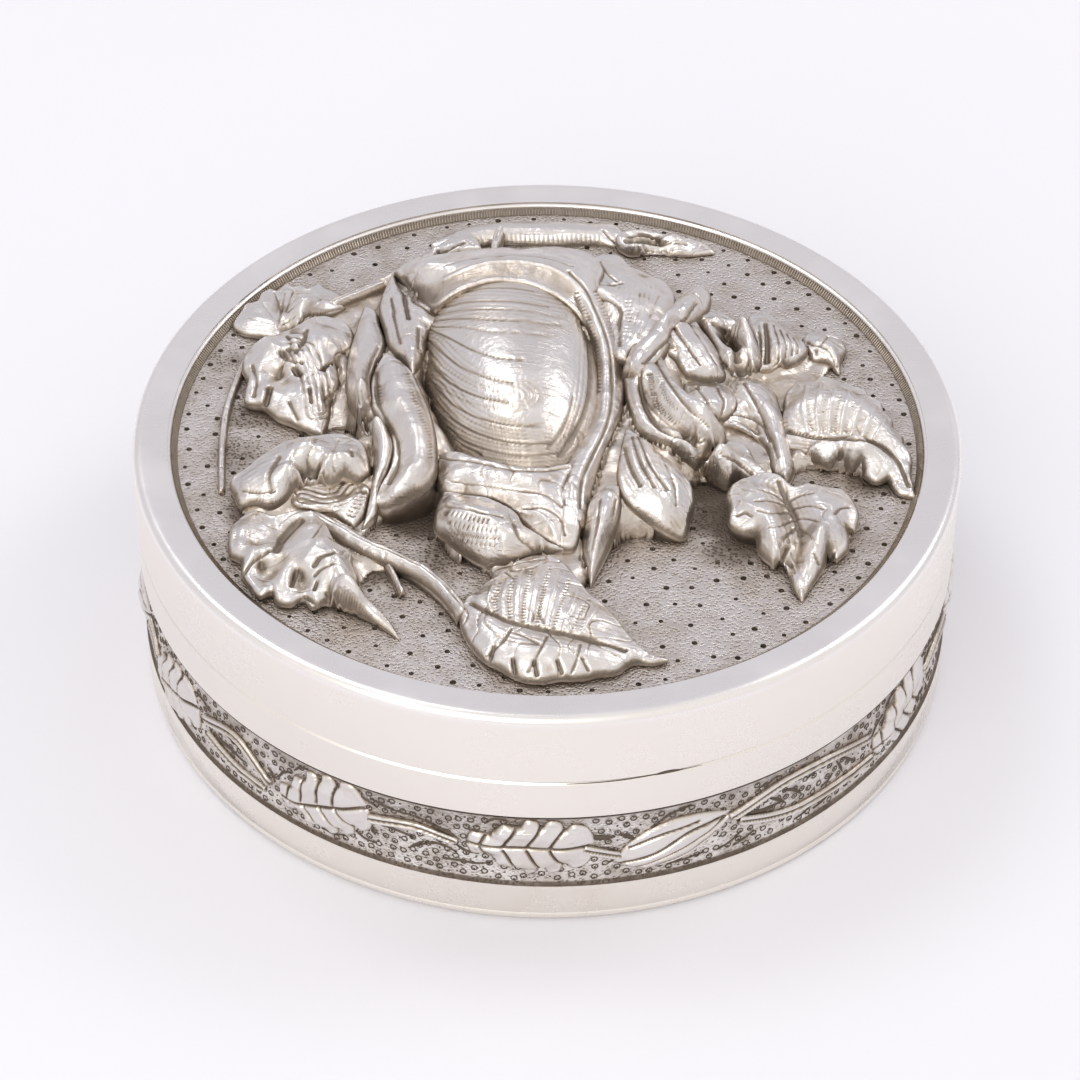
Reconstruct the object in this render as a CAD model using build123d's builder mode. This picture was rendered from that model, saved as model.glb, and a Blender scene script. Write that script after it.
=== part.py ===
"""Round silver betel box: a drawn base with a chased leaf garland, and a pull-off lid whose sunk panel
carries a high relief of a rose bud, its sepals and petals, leaves and stems.

Millimetres. The origin is the centre of the resting face, +Z is up, and -Y is the front."""

import math
import os
from collections import namedtuple

from build123d import *

os.makedirs("parts", exist_ok=True)

# ---------------------------------------------------------------- driving dimensions
outer_radius = 50.0  # plain wall of the base and of the lid

base_height = 23.0  # resting face to the seam
wall_thickness = 1.2  # base wall
foot_rounding = 1.1  # rolled bottom edge
base_plate_thickness = 1.0

frieze_bottom = 6.0  # resting face to the lower border of the garland
frieze_width = 11.2  # lower border to upper border
frieze_sink = 0.5  # depth of the stippled ground below the plain wall
GROUND_FLAT_COUNT = 72  # sides of the sunk ground, so that the garland seats on flats
garland_rim_height = 0.55  # rims of the leaves above their sunk ground
garland_crown = 0.6  # further rise of a leaf's midrib
garland_stem_height = 0.8
garland_stem_width = 1.3
solder_depth = 0.2  # how deep a garland piece is drawn below its ground, before it is cut to the wall

bezel_thickness = 0.8  # collar that guides the lid
bezel_rise = 4.0  # above the seam
bezel_depth = 5.0  # soldered length below the seam
lid_clearance = 0.08  # running fit of the lid over the bezel
seam_gap = 0.05  # hairline between the lid and the base

lid_side_height = 10.0  # seam to the crest of the rim
rim_rounding = 1.1  # rolled outer edge of the rim
rim_width = 4.6  # outer wall to the rim's inner edge
rim_fall = 0.6  # how far the rim slopes down to its inner edge
panel_sink = 0.9  # rim's inner edge down to the panel's face
panel_thickness = 0.9
panel_overlap = 2.4  # panel under the rim, where it is soldered
border_width = 0.8  # milled slope between the rim and the panel
border_height = 0.8
relief_margin = 0.4  # spray to the milled slope

# ---------------------------------------------------------------- places that follow from them
wall_inner_radius = outer_radius - wall_thickness
frieze_radius = outer_radius - frieze_sink
bezel_inner_radius = wall_inner_radius - bezel_thickness
lid_inner_radius = wall_inner_radius + lid_clearance
lid_bottom = base_height + seam_gap
rim_crest = base_height + lid_side_height
rim_inner_radius = outer_radius - rim_width
rim_inner_height = rim_crest - rim_fall
panel_face = rim_inner_height - panel_sink
panel_radius = rim_inner_radius + panel_overlap
border_inner_radius = rim_inner_radius - border_width

SPRAY_UNITS = 44.2  # the spray is drawn in units, and this many reach from the centre to its tips
spray_scale = (border_inner_radius - relief_margin) / SPRAY_UNITS  # millimetres of a unit


def rolled_edge(centre_radius, centre_height, rounding, start_degrees):
    """Points of a quarter round in a lathe profile, in two flats that keep the wall's mesh light."""
    angles = [math.radians(start_degrees + 45 * k) for k in range(3)]
    return [(centre_radius + rounding * math.cos(a), centre_height + rounding * math.sin(a)) for a in angles]


# ---------------------------------------------------------------- base
with BuildPart() as base_wall:
    with BuildSketch(Plane.XZ):
        with BuildLine():
            Polyline(
                (wall_inner_radius, 0),
                *rolled_edge(outer_radius - foot_rounding, foot_rounding, foot_rounding, -90),
                (outer_radius, base_height),
                (wall_inner_radius, base_height),
                close=True,
            )
        make_face()
    revolve(axis=Axis.Z)
    with BuildSketch(Plane.XY.offset(frieze_bottom)):
        Circle(outer_radius + wall_thickness)
        RegularPolygon(frieze_radius, GROUND_FLAT_COUNT, mode=Mode.SUBTRACT)
    extrude(amount=frieze_width, mode=Mode.SUBTRACT)

with BuildPart() as base_plate:
    Cylinder(wall_inner_radius, base_plate_thickness, align=(Align.CENTER, Align.CENTER, Align.MIN))

with BuildPart() as bezel:
    with BuildSketch(Plane.XZ):
        with BuildLine():
            Polyline(
                (bezel_inner_radius, base_height - bezel_depth),
                (wall_inner_radius, base_height - bezel_depth),
                (wall_inner_radius, base_height + bezel_rise),
                (bezel_inner_radius, base_height + bezel_rise),
                close=True,
            )
        make_face()
    revolve(axis=Axis.Z)


# ---------------------------------------------------------------- blades
# A blade is a leaf, petal, sepal or stem. Its stations run from stalk to tip, each with the place of the
# midrib, the half-widths to its left and right, and the heights of the midrib, of both rims, and of the
# swell half-way across.
Station = namedtuple("Station", "x y left right rib edge swell")

TOOTH_DEPTH = 0.14  # notch of a serrated rim, as a share of the half-width
TOOTH_LEAN = 0.2  # how far a tooth points forward, as a share of its pitch


def heading(stations, i):
    """Unit vector along the midrib at a station."""
    before = stations[max(i - 1, 0)]
    after = stations[min(i + 1, len(stations) - 1)]
    return Vector(after.x - before.x, after.y - before.y, 0).normalized()


def between(stations, along):
    """The station, and the heading there, at a share of the way from stalk to tip."""
    spans = len(stations) - 1
    i = min(int(along * spans), spans - 1)
    share = along * spans - i
    mixed = Station(*(u * (1 - share) + v * share for u, v in zip(stations[i], stations[i + 1])))
    ahead = heading(stations, i) * (1 - share) + heading(stations, i + 1) * share
    return mixed, ahead.normalized()


def section(stations, along, reach=1.0, lead=0.0, foot=0.0):
    """Points over a blade: foot, rim, shoulder, midrib, shoulder, rim, foot. A stem has no shoulders."""
    s, ahead = between(stations, along)
    to_right = Vector(ahead.Y, -ahead.X, 0)
    shoulder = (s.rib + s.edge) / 2 + s.swell
    corners = [
        (-s.left * reach, foot, lead),
        (-s.left * reach, s.edge, lead),
        (-s.left / 2, shoulder, 0),
        (0, s.rib, 0),
        (s.right / 2, shoulder, 0),
        (s.right * reach, s.edge, lead),
        (s.right * reach, foot, lead),
    ]
    if not any(station.swell for station in stations):
        corners = [corners[k] for k in (0, 1, 3, 5, 6)]
    return [Vector(s.x, s.y, height) + to_right * side + ahead * forward for side, height, forward in corners]


def faceted(rings):
    """Solid of flat triangles through closed rings of points, with its two ends closed."""
    corners = len(rings[0])
    triangles = []
    for near, far in zip(rings, rings[1:]):
        for k in range(corners):
            after = (k + 1) % corners
            triangles.append((near[k], near[after], far[after]))
            triangles.append((near[k], far[after], far[k]))
    for k in range(1, corners - 1):
        triangles.append((rings[0][0], rings[0][k + 1], rings[0][k]))
        triangles.append((rings[-1][0], rings[-1][k], rings[-1][k + 1]))
    facets = [Face(Wire.make_polygon(triangle, close=True)) for triangle in triangles]
    return Solid(Shell(facets))


def blade(stations, place, teeth=0, foot=0.0):
    """Solid of flat facets through the sections of a blade. place puts a drawn point on the box."""
    if teeth:
        pitch = 1 / teeth
        length = sum(math.dist(u[:2], v[:2]) for u, v in zip(stations, stations[1:]))
        lead = TOOTH_LEAN * length * pitch
        rings = [section(stations, 0, foot=foot)]
        for k in range(teeth):
            rings.append(section(stations, (k + 0.15) * pitch, 1 - TOOTH_DEPTH, 0, foot))
            rings.append(section(stations, (k + 0.7) * pitch, 1, lead, foot))
        rings.append(section(stations, 1, foot=foot))
    else:
        spans = len(stations) - 1
        rings = [section(stations, i / spans, foot=foot) for i in range(spans + 1)]
    return faceted([[place(point) for point in ring] for ring in rings])


def seat_against(*neighbours):
    """Cuts the piece back to the faces of the pieces that it is soldered against."""
    add([n.part for n in neighbours], mode=Mode.SUBTRACT)


# ---------------------------------------------------------------- garland round the base
# Its places are drawn unrolled: degrees round the box, anticlockwise from +X, and rise from the middle line.
def on_wall(point):
    """Wraps an unrolled point round the sunk ground, with its height outwards."""
    angle = point.X / frieze_radius
    radius = frieze_radius + point.Z
    middle = frieze_bottom + frieze_width / 2
    return Vector(radius * math.cos(angle), radius * math.sin(angle), middle + point.Y)


def unrolled(angle):
    """Distance round the sunk ground for an angle in degrees."""
    return math.radians(angle) * frieze_radius


def straight_blade(angle, rise, length, width, lean, shares):
    """Stations of a leaf or bud about its middle. shares are the half-widths along it, of the widest."""
    run = Vector(math.cos(math.radians(lean)), math.sin(math.radians(lean)), 0) * length
    stations = []
    for along, share in shares:
        x = unrolled(angle) + run.X * (along - 0.5)
        y = rise + run.Y * (along - 0.5)
        half_width = width / 2 * share
        rim = garland_rim_height
        stations.append(Station(x, y, half_width, half_width, rim + garland_crown, rim, 0))
    return stations


LEAF_SHARES = [(0, 0.15), (0.14, 0.75), (0.36, 1.0), (0.6, 0.86), (0.82, 0.45), (1, 0.03)]
BUD_SHARES = [(0, 0.08), (0.25, 0.75), (0.5, 1.0), (0.75, 0.7), (1, 0.04)]
GARLAND_UNIT = 90  # degrees; the run of two leaves and a bud repeats
GARLAND_UNITS = 3  # the fourth quarter is closed by a longer join
GARLAND_LEAF_TEETH = 5

# angle, rise, length, width, lean
unit_leaves = [(-121.0, 0.2, 13.0, 8.8, 20), (-93.0, 0.9, 15.6, 8.4, 0)]
join_leaves = [(-153.0, -0.9, 12.6, 8.8, 16), (-190.0, 0.4, 15.0, 8.4, -6)]
unit_buds = [(-72.0, 0.2, 15.0, 6.6, 14)]
join_buds = [(-172.0, 0.0, 14.0, 6.2, 12)]
# each stem as points of angle and rise
unit_stems = [
    [(-113.8, 0.9), (-107.0, 1.7), (-101.4, 0.5)],
    [(-84.6, 0.3), (-79.6, -1.3)],
    [(-64.2, 0.9), (-56.0, 3.2), (-49.0, 3.0), (-39.5, 1.0)],
    [(-62.8, -0.2), (-55.0, -2.2), (-46.0, -2.6), (-38.5, -2.9)],
]
join_stems = [
    [(-143.8, 0.6), (-136.5, 2.4), (-130.0, -1.4)],
    [(-143.2, -1.4), (-137.0, -2.6), (-131.0, -2.9)],
    [(-182.4, 0.6), (-179.0, -0.6)],
    [(-164.6, 1.3), (-162.0, 0.6), (-160.2, -1.6)],
    [(-218.0, 1.2), (-207.0, 2.2), (-198.6, 0.8)],
    [(-218.0, -2.6), (-208.0, -2.4), (-197.6, -0.8)],
]


def repeated(places):
    """The same places in every unit of the garland. The first number of a place is its angle."""
    return [(p[0] + k * GARLAND_UNIT, *p[1:]) for k in range(GARLAND_UNITS) for p in places]


def turned(run, units):
    """A stem's points, moved on by a number of units."""
    return [(angle + units * GARLAND_UNIT, rise) for angle, rise in run]


stem_profile = (garland_stem_width / 2, garland_stem_width / 2, garland_stem_height, garland_rim_height, 0)
stem_runs = [turned(run, k) for k in range(GARLAND_UNITS) for run in unit_stems] + join_stems


with BuildPart() as frieze_leaves:
    for leaf_place in repeated(unit_leaves) + join_leaves:
        add(blade(straight_blade(*leaf_place, LEAF_SHARES), on_wall, GARLAND_LEAF_TEETH, -solder_depth))
    seat_against(base_wall)

with BuildPart() as frieze_buds:
    for small_bud in repeated(unit_buds) + join_buds:
        add(blade(straight_blade(*small_bud, BUD_SHARES), on_wall, foot=-solder_depth))
    seat_against(base_wall, frieze_leaves)

with BuildPart() as frieze_stems:
    for run in stem_runs:
        points = [(unrolled(angle), rise) for angle, rise in run]
        add(blade([Station(*point, *stem_profile) for point in points], on_wall, foot=-solder_depth))
    seat_against(base_wall, frieze_leaves, frieze_buds)

# ---------------------------------------------------------------- lid
with BuildPart() as lid_shell:
    with BuildSketch(Plane.XZ):
        with BuildLine():
            Polyline(
                (lid_inner_radius, lid_bottom),
                (outer_radius, lid_bottom),
                *rolled_edge(outer_radius - rim_rounding, rim_crest - rim_rounding, rim_rounding, 0),
                (rim_inner_radius, rim_inner_height),
                (rim_inner_radius, panel_face),
                (lid_inner_radius, panel_face),
                close=True,
            )
        make_face()
    revolve(axis=Axis.Z)

with BuildPart() as lid_panel:
    with BuildSketch(Plane.XY.offset(panel_face)):
        Circle(panel_radius)
    extrude(amount=-panel_thickness)

with BuildPart() as milled_border:
    with BuildSketch(Plane.XZ):
        with BuildLine():
            Polyline(
                (rim_inner_radius, panel_face),
                (rim_inner_radius, panel_face + border_height),
                (border_inner_radius, panel_face),
                close=True,
            )
        make_face()
    revolve(axis=Axis.Z)

# ---------------------------------------------------------------- relief on the lid
def on_panel(point):
    """Puts a drawn point of the spray on the panel."""
    return Vector(0, 0, panel_face) + point * spray_scale


def petal(*stations):
    """A smooth-edged petal, sepal or stem."""
    add(blade([Station(*s) for s in stations], on_panel))


def leaf(*stations, teeth):
    """A leaf with a serrated rim."""
    add(blade([Station(*s) for s in stations], on_panel, teeth))


# ---- rose bud: an egg of revolution lying on the panel, pointing a little to the left
bud_place = Vector(-4.5, 10.0) * spray_scale
bud_turn = 8.6  # degrees, from +Y towards -X
bud_radius = 10.7 * spray_scale
bud_axis_height = 1.3 * spray_scale  # above the panel
bud_back_length = 13.3 * spray_scale  # widest point to the tip
bud_front_length = 20.0 * spray_scale  # widest point to where the egg would close in front
bud_front_cut = 14.0 * spray_scale  # widest point to the calyx
bud_centre = Vector(bud_place.X, bud_place.Y, panel_face + bud_axis_height)
bud_axis = Vector(-math.sin(math.radians(bud_turn)), math.cos(math.radians(bud_turn)), 0)
BUD_BAND_COUNT = 5  # bands of flats from the bud's widest point to either end
BUD_FLAT_COUNT = 26  # flats round it
bud_tip_radius = 0.4 * spray_scale


def egg_profile(reach, cut):
    """Distance and radius along a quarter of an egg, from its widest point to where it is cut."""
    angles = [math.asin(cut / reach) * k / BUD_BAND_COUNT for k in range(BUD_BAND_COUNT + 1)]
    return [(reach * math.sin(a), max(bud_radius * math.cos(a), bud_tip_radius)) for a in angles]


def bud_ring(along, radius):
    """Points round the bud at a distance along its axis from its widest point."""
    across = bud_axis.cross(Vector(0, 0, 1))
    turns = [2 * math.pi * k / BUD_FLAT_COUNT for k in range(BUD_FLAT_COUNT)]
    offsets = [across * math.cos(turn) + Vector(0, 0, math.sin(turn)) for turn in turns]
    return [bud_centre + bud_axis * along + offset * radius for offset in offsets]


with BuildPart() as rose_bud:
    front = [(-x, radius) for x, radius in egg_profile(bud_front_length, bud_front_cut)]
    back = egg_profile(bud_back_length, bud_back_length)
    add(faceted([bud_ring(x, radius) for x, radius in [*reversed(front), *back[1:]]]))
    split(bisect_by=Plane.XY.offset(panel_face), keep=Keep.TOP)

with BuildPart() as bud_calyx:
    petal(
        (-3.4, 1.0, 8.6, 8.6, 9.8, 1.4, 2.4),
        (-2.4, -3.5, 7.8, 8.2, 8.9, 1.2, 2.2),
        (-1.5, -8.0, 6.8, 8.5, 7.4, 1.6, 1.8),
        (0.0, -13.0, 5.6, 8.5, 6.2, 1.4, 1.4),
        (1.5, -18.0, 4.0, 5.5, 4.6, 1.2, 1.0),
        (3.0, -22.5, 2.0, 2.2, 3.0, 1.0, 0.5),
    )
    seat_against(rose_bud)

with BuildPart() as bud_hood:
    petal(
        (-16.0, 18.0, 4.0, 1.5, 7.0, 2.5, 1.0),
        (-12.5, 17.5, 7.0, 2.5, 9.5, 3.0, 2.0),
        (-8.0, 16.8, 8.5, 3.0, 12.2, 3.5, 3.0),
        (-3.0, 17.6, 9.0, 3.0, 12.7, 4.0, 3.2),
        (1.5, 17.0, 9.0, 3.0, 11.9, 4.0, 3.0),
        (4.6, 14.0, 8.0, 3.0, 11.2, 4.0, 2.5),
        (6.6, 9.8, 4.0, 3.0, 9.2, 4.0, 1.0),
        (7.5, 2.0, 2.4, 3.0, 7.3, 3.5, 0.6),
        (7.1, -7.0, 2.0, 2.5, 6.1, 2.5, 0.6),
        (4.8, -15.0, 1.6, 1.8, 5.0, 2.0, 0.4),
        (3.0, -20.5, 1.0, 1.0, 3.6, 1.5, 0.2),
    )
    seat_against(rose_bud, bud_calyx)

# ---- sepals and petals round the bud
with BuildPart() as inner_left_sepal:
    petal(
        (-18.0, 7.5, 0.8, 0.6, 7.0, 3.0, 0.1),
        (-18.8, 3.0, 1.8, 1.6, 8.0, 3.0, 0.3),
        (-18.8, -2.5, 2.0, 1.8, 8.0, 3.0, 0.3),
        (-16.8, -7.5, 2.0, 1.8, 7.6, 3.0, 0.3),
        (-15.3, -11.0, 1.8, 1.8, 6.4, 2.6, 0.3),
        (-16.6, -14.5, 1.6, 1.4, 4.8, 2.2, 0.2),
        (-19.8, -16.2, 0.8, 0.8, 3.0, 1.6, 0.1),
    )
    seat_against(rose_bud, bud_calyx)

with BuildPart() as star_sepal:
    petal(
        (-19.8, 27.0, 0.4, 0.4, 3.6, 2.0, 0.1),
        (-18.5, 22.5, 2.0, 2.0, 5.2, 2.4, 0.4),
        (-17.3, 17.0, 2.6, 3.0, 6.8, 3.0, 0.5),
        (-17.0, 12.0, 1.8, 1.8, 7.8, 3.4, 0.3),
        (-17.0, 8.0, 0.6, 0.6, 7.6, 4.0, 0.1),
    )
    seat_against(rose_bud, bud_hood, inner_left_sepal)

with BuildPart() as outer_left_sepal:
    petal(
        (-22.5, 21.5, 0.4, 0.4, 3.0, 1.5, 0.1),
        (-21.8, 16.0, 1.6, 2.0, 4.8, 2.0, 0.3),
        (-22.0, 9.0, 2.0, 2.8, 6.4, 2.2, 0.4),
        (-22.5, 2.0, 1.8, 2.8, 7.0, 2.4, 0.4),
        (-22.0, -4.5, 1.6, 2.4, 6.8, 2.4, 0.4),
        (-20.3, -9.5, 1.4, 2.0, 5.4, 2.0, 0.3),
        (-19.5, -12.8, 0.6, 1.0, 3.2, 1.4, 0.1),
    )
    seat_against(star_sepal, inner_left_sepal)

with BuildPart() as shell_petal:
    petal(
        (-13.0, -13.0, 1.0, 1.0, 3.0, 1.5, 0.1),
        (-11.0, -16.0, 2.5, 3.0, 4.6, 1.4, 0.5),
        (-8.0, -18.5, 3.0, 3.8, 5.4, 1.3, 0.6),
        (-4.5, -21.0, 3.0, 3.0, 5.2, 1.2, 0.5),
        (-1.0, -23.0, 2.0, 2.0, 4.2, 1.2, 0.3),
        (1.5, -24.5, 0.5, 0.5, 3.0, 1.2, 0.1),
    )
    seat_against(bud_calyx, bud_hood, inner_left_sepal)

with BuildPart() as neck_sepal:
    petal(
        (7.6, -12.0, 0.8, 0.8, 5.0, 2.0, 0.1),
        (7.3, -16.0, 1.5, 2.0, 4.6, 1.6, 0.3),
        (6.6, -20.5, 1.6, 2.2, 3.4, 1.2, 0.3),
        (5.7, -24.5, 1.0, 1.4, 2.0, 1.0, 0.2),
        (5.0, -28.0, 0.25, 0.25, 0.9, 0.6, 0.1),
    )
    seat_against(bud_calyx, bud_hood)

with BuildPart() as lance_sepal:
    petal(
        (9.8, -3.5, 1.0, 1.0, 6.4, 2.6, 0.1),
        (11.0, -8.0, 2.6, 1.8, 6.0, 2.4, 0.4),
        (12.8, -12.5, 3.4, 2.6, 4.8, 1.8, 0.5),
        (14.6, -16.0, 2.2, 2.0, 3.0, 1.3, 0.3),
        (16.2, -19.0, 0.25, 0.25, 1.1, 0.7, 0.1),
    )
    seat_against(bud_hood, neck_sepal)

# ---- open flower on the right
with BuildPart() as curled_petal:
    petal(
        (12.3, 8.0, 1.0, 1.0, 6.8, 3.0, 0.1),
        (12.8, 4.0, 3.0, 2.6, 6.8, 3.0, 0.4),
        (14.3, 0.0, 3.4, 3.6, 6.4, 2.8, 0.5),
        (16.5, -3.2, 3.0, 3.2, 5.4, 2.4, 0.4),
        (19.0, -5.0, 1.8, 1.8, 4.2, 2.0, 0.3),
        (21.3, -5.6, 0.4, 0.4, 3.2, 1.6, 0.1),
    )
    seat_against(bud_hood, lance_sepal)

with BuildPart() as pointed_petal:
    petal(
        (9.8, 4.5, 0.8, 0.8, 7.0, 3.0, 0.1),
        (12.0, 8.5, 1.0, 2.2, 8.2, 3.2, 0.3),
        (14.5, 12.5, 1.2, 3.6, 8.5, 3.2, 0.4),
        (16.8, 17.0, 1.2, 2.6, 7.9, 2.8, 0.3),
        (18.4, 20.5, 0.8, 1.2, 6.8, 2.2, 0.1),
        (19.2, 22.5, 0.2, 0.2, 6.0, 1.6, 0.1),
    )
    seat_against(bud_hood, curled_petal)

with BuildPart() as fan_petal:
    petal(
        (9.3, 8.0, 1.5, 1.5, 6.6, 3.0, 0.2),
        (9.8, 13.0, 2.6, 3.4, 7.0, 3.0, 0.5),
        (10.2, 18.5, 4.2, 5.0, 7.0, 3.0, 0.8),
        (10.4, 23.5, 4.6, 4.6, 6.2, 2.6, 0.8),
        (10.4, 27.5, 2.6, 2.4, 3.6, 1.6, 0.5),
    )
    seat_against(bud_hood, pointed_petal)

with BuildPart() as side_petal:
    petal(
        (17.5, 15.5, 1.2, 1.0, 6.0, 3.0, 0.1),
        (18.0, 12.5, 1.8, 2.6, 6.2, 2.8, 0.4),
        (19.2, 9.8, 1.6, 3.0, 5.4, 2.5, 0.4),
        (20.8, 7.6, 0.8, 1.4, 4.2, 2.0, 0.1),
    )
    seat_against(pointed_petal, curled_petal)

with BuildPart() as cup_petal:
    petal(
        (20.8, 20.5, 1.0, 0.8, 3.0, 1.5, 0.1),
        (22.3, 17.0, 2.2, 2.4, 4.4, 1.8, 0.5),
        (23.6, 13.0, 2.4, 2.8, 4.8, 1.8, 0.6),
        (24.6, 9.6, 1.6, 2.0, 4.0, 1.6, 0.4),
        (25.4, 7.8, 0.4, 0.4, 3.0, 1.4, 0.1),
    )
    seat_against(side_petal)

with BuildPart() as ribbed_petal:
    petal(
        (27.0, 22.5, 1.0, 1.0, 2.4, 1.2, 0.1),
        (28.6, 19.5, 2.8, 2.0, 3.6, 1.4, 0.5),
        (29.3, 15.5, 2.8, 2.6, 4.2, 1.6, 0.6),
        (29.0, 11.8, 2.2, 2.4, 3.8, 1.6, 0.4),
        (28.0, 9.5, 0.5, 0.5, 3.0, 1.4, 0.1),
    )
    seat_against(cup_petal)

with BuildPart() as inner_bract:
    petal(
        (19.0, 6.2, 1.0, 1.0, 4.0, 2.0, 0.1),
        (20.2, 3.6, 2.2, 2.2, 4.8, 2.0, 0.4),
        (21.2, 0.8, 1.8, 1.8, 4.2, 1.8, 0.3),
        (21.8, -0.8, 0.4, 0.4, 3.2, 1.5, 0.1),
    )
    seat_against(curled_petal, side_petal)

with BuildPart() as outer_bract:
    petal(
        (25.0, 7.0, 0.8, 0.8, 3.4, 1.6, 0.1),
        (25.6, 3.0, 1.8, 2.0, 3.8, 1.6, 0.4),
        (26.0, -1.0, 1.5, 1.8, 3.4, 1.5, 0.3),
        (26.2, -4.5, 0.4, 0.4, 2.8, 1.2, 0.1),
    )
    seat_against(cup_petal, inner_bract)

with BuildPart() as lower_bract:
    petal(
        (21.8, -2.4, 0.8, 0.8, 3.6, 1.6, 0.1),
        (23.0, -5.0, 1.8, 1.6, 3.8, 1.6, 0.3),
        (24.6, -8.0, 1.2, 1.4, 3.4, 1.4, 0.2),
        (25.8, -10.2, 0.3, 0.3, 3.0, 1.2, 0.1),
    )
    seat_against(curled_petal, inner_bract, outer_bract)

# ---- serrated leaves
with BuildPart() as front_leaf:
    leaf(
        (-9.5, -31.0, 2.0, 2.0, 2.2, 1.6, 0.4),
        (-7.0, -33.5, 7.0, 4.5, 2.5, 2.2, 1.6),
        (-3.5, -35.7, 10.8, 5.3, 2.7, 2.2, 2.2),
        (0.5, -37.0, 9.5, 5.0, 3.0, 2.0, 2.0),
        (5.0, -38.3, 6.6, 3.6, 2.6, 1.6, 1.4),
        (9.5, -39.0, 2.6, 1.6, 1.8, 1.2, 0.6),
        (13.5, -38.5, 0.25, 0.25, 1.0, 0.9, 0.1),
        teeth=9,
    )
    seat_against(shell_petal, neck_sepal)

with BuildPart() as front_left_leaf:
    leaf(
        (-29.0, -15.0, 1.5, 4.5, 2.5, 1.4, 0.6),
        (-30.0, -18.5, 4.5, 6.8, 3.2, 1.6, 1.2),
        (-30.0, -22.5, 6.5, 7.0, 3.4, 1.6, 1.6),
        (-28.5, -26.0, 6.0, 6.0, 3.3, 1.6, 1.4),
        (-26.0, -28.7, 3.6, 4.4, 2.8, 1.4, 1.0),
        (-22.5, -31.5, 1.3, 1.2, 1.8, 1.0, 0.5),
        (-17.0, -36.0, 0.25, 0.25, 0.8, 0.6, 0.2),
        teeth=8,
    )

with BuildPart() as curled_leaf:
    leaf(
        (-38.5, -11.0, 0.5, 0.6, 1.6, 1.2, 0.1),
        (-36.0, -10.0, 4.0, 4.8, 4.2, 1.6, 0.8),
        (-33.0, -9.0, 5.5, 6.2, 5.4, 1.9, 1.2),
        (-29.0, -8.4, 6.0, 5.4, 6.0, 2.2, 1.2),
        (-25.0, -8.6, 5.5, 3.2, 5.8, 2.6, 1.0),
        (-21.5, -9.4, 3.0, 2.4, 4.2, 2.2, 0.6),
        teeth=8,
    )
    seat_against(outer_left_sepal, front_left_leaf)

with BuildPart() as crumpled_leaf:
    leaf(
        (-30.5, 17.0, 2.5, 2.5, 3.6, 2.6, 0.6),
        (-31.0, 14.0, 5.8, 4.8, 4.0, 2.6, 1.2),
        (-31.0, 10.0, 6.0, 6.2, 3.6, 2.2, 1.5),
        (-30.5, 6.0, 4.6, 5.8, 3.0, 1.6, 1.3),
        (-29.0, 2.0, 2.6, 4.0, 2.2, 1.2, 0.8),
        (-27.0, -1.5, 0.3, 0.3, 1.0, 0.7, 0.1),
        teeth=7,
    )
    seat_against(outer_left_sepal, curled_leaf)

with BuildPart() as far_left_leaf:
    leaf(
        (-33.0, 17.5, 3.0, 2.5, 1.2, 0.8, 0.3),
        (-33.2, 20.0, 5.0, 4.0, 1.5, 1.0, 0.4),
        (-33.3, 23.0, 4.4, 6.0, 1.6, 1.0, 0.4),
        (-33.5, 26.0, 2.0, 4.6, 1.4, 0.9, 0.3),
        (-33.5, 28.6, 0.3, 0.3, 0.9, 0.7, 0.2),
        teeth=6,
    )
    seat_against(crumpled_leaf)

with BuildPart() as right_leaf:
    leaf(
        (27.0, -1.5, 3.0, 1.2, 2.6, 2.0, 0.5),
        (30.0, -2.4, 8.0, 2.2, 3.2, 2.4, 2.0),
        (33.5, -3.2, 10.4, 2.6, 3.4, 2.2, 2.4),
        (37.5, -3.8, 9.6, 3.0, 3.2, 1.8, 2.0),
        (40.5, -5.5, 4.6, 2.4, 2.4, 1.4, 1.0),
        (42.6, -10.0, 0.3, 0.3, 0.9, 0.7, 0.2),
        teeth=8,
    )
    seat_against(outer_bract, ribbed_petal)

with BuildPart() as front_right_leaf:
    leaf(
        (27.0, -9.0, 2.0, 2.5, 3.0, 2.6, 0.4),
        (28.0, -12.5, 5.0, 6.0, 3.0, 2.8, 1.0),
        (29.2, -16.0, 6.2, 7.4, 2.8, 2.4, 1.2),
        (29.8, -19.5, 5.4, 6.0, 2.4, 1.8, 1.0),
        (30.0, -23.0, 3.6, 4.6, 1.8, 1.2, 0.7),
        (29.8, -26.0, 1.6, 1.8, 1.2, 0.8, 0.3),
        (29.5, -28.6, 0.3, 0.3, 0.8, 0.6, 0.2),
        teeth=8,
    )
    seat_against(lower_bract, right_leaf)

with BuildPart() as small_right_leaf:
    leaf(
        (31.5, 17.0, 1.5, 1.5, 2.0, 1.4, 0.4),
        (33.5, 15.8, 2.8, 2.2, 2.0, 1.3, 0.4),
        (35.5, 14.2, 2.4, 1.8, 1.6, 1.0, 0.4),
        (36.8, 11.8, 0.3, 0.3, 0.8, 0.6, 0.2),
        teeth=4,
    )
    seat_against(ribbed_petal, right_leaf)

# ---- stems
with BuildPart() as top_stem:
    petal(
        (-12.5, 36.5, 1.0, 1.0, 2.4, 1.8, 0.1),
        (-7.0, 38.3, 1.1, 1.1, 3.0, 2.2, 0.2),
        (0.0, 39.0, 1.1, 1.1, 3.0, 2.2, 0.2),
        (6.0, 38.8, 1.0, 1.0, 2.7, 2.0, 0.2),
        (9.0, 38.0, 0.8, 0.8, 2.2, 1.6, 0.1),
    )

with BuildPart() as top_bud:
    petal(
        (9.2, 37.8, 0.9, 0.9, 2.0, 1.2, 0.1),
        (12.0, 38.2, 1.9, 1.7, 2.2, 0.9, 0.3),
        (16.0, 37.8, 1.6, 1.6, 1.8, 0.7, 0.3),
        (20.5, 36.6, 0.25, 0.25, 0.8, 0.5, 0.1),
    )
    seat_against(top_stem)

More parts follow.
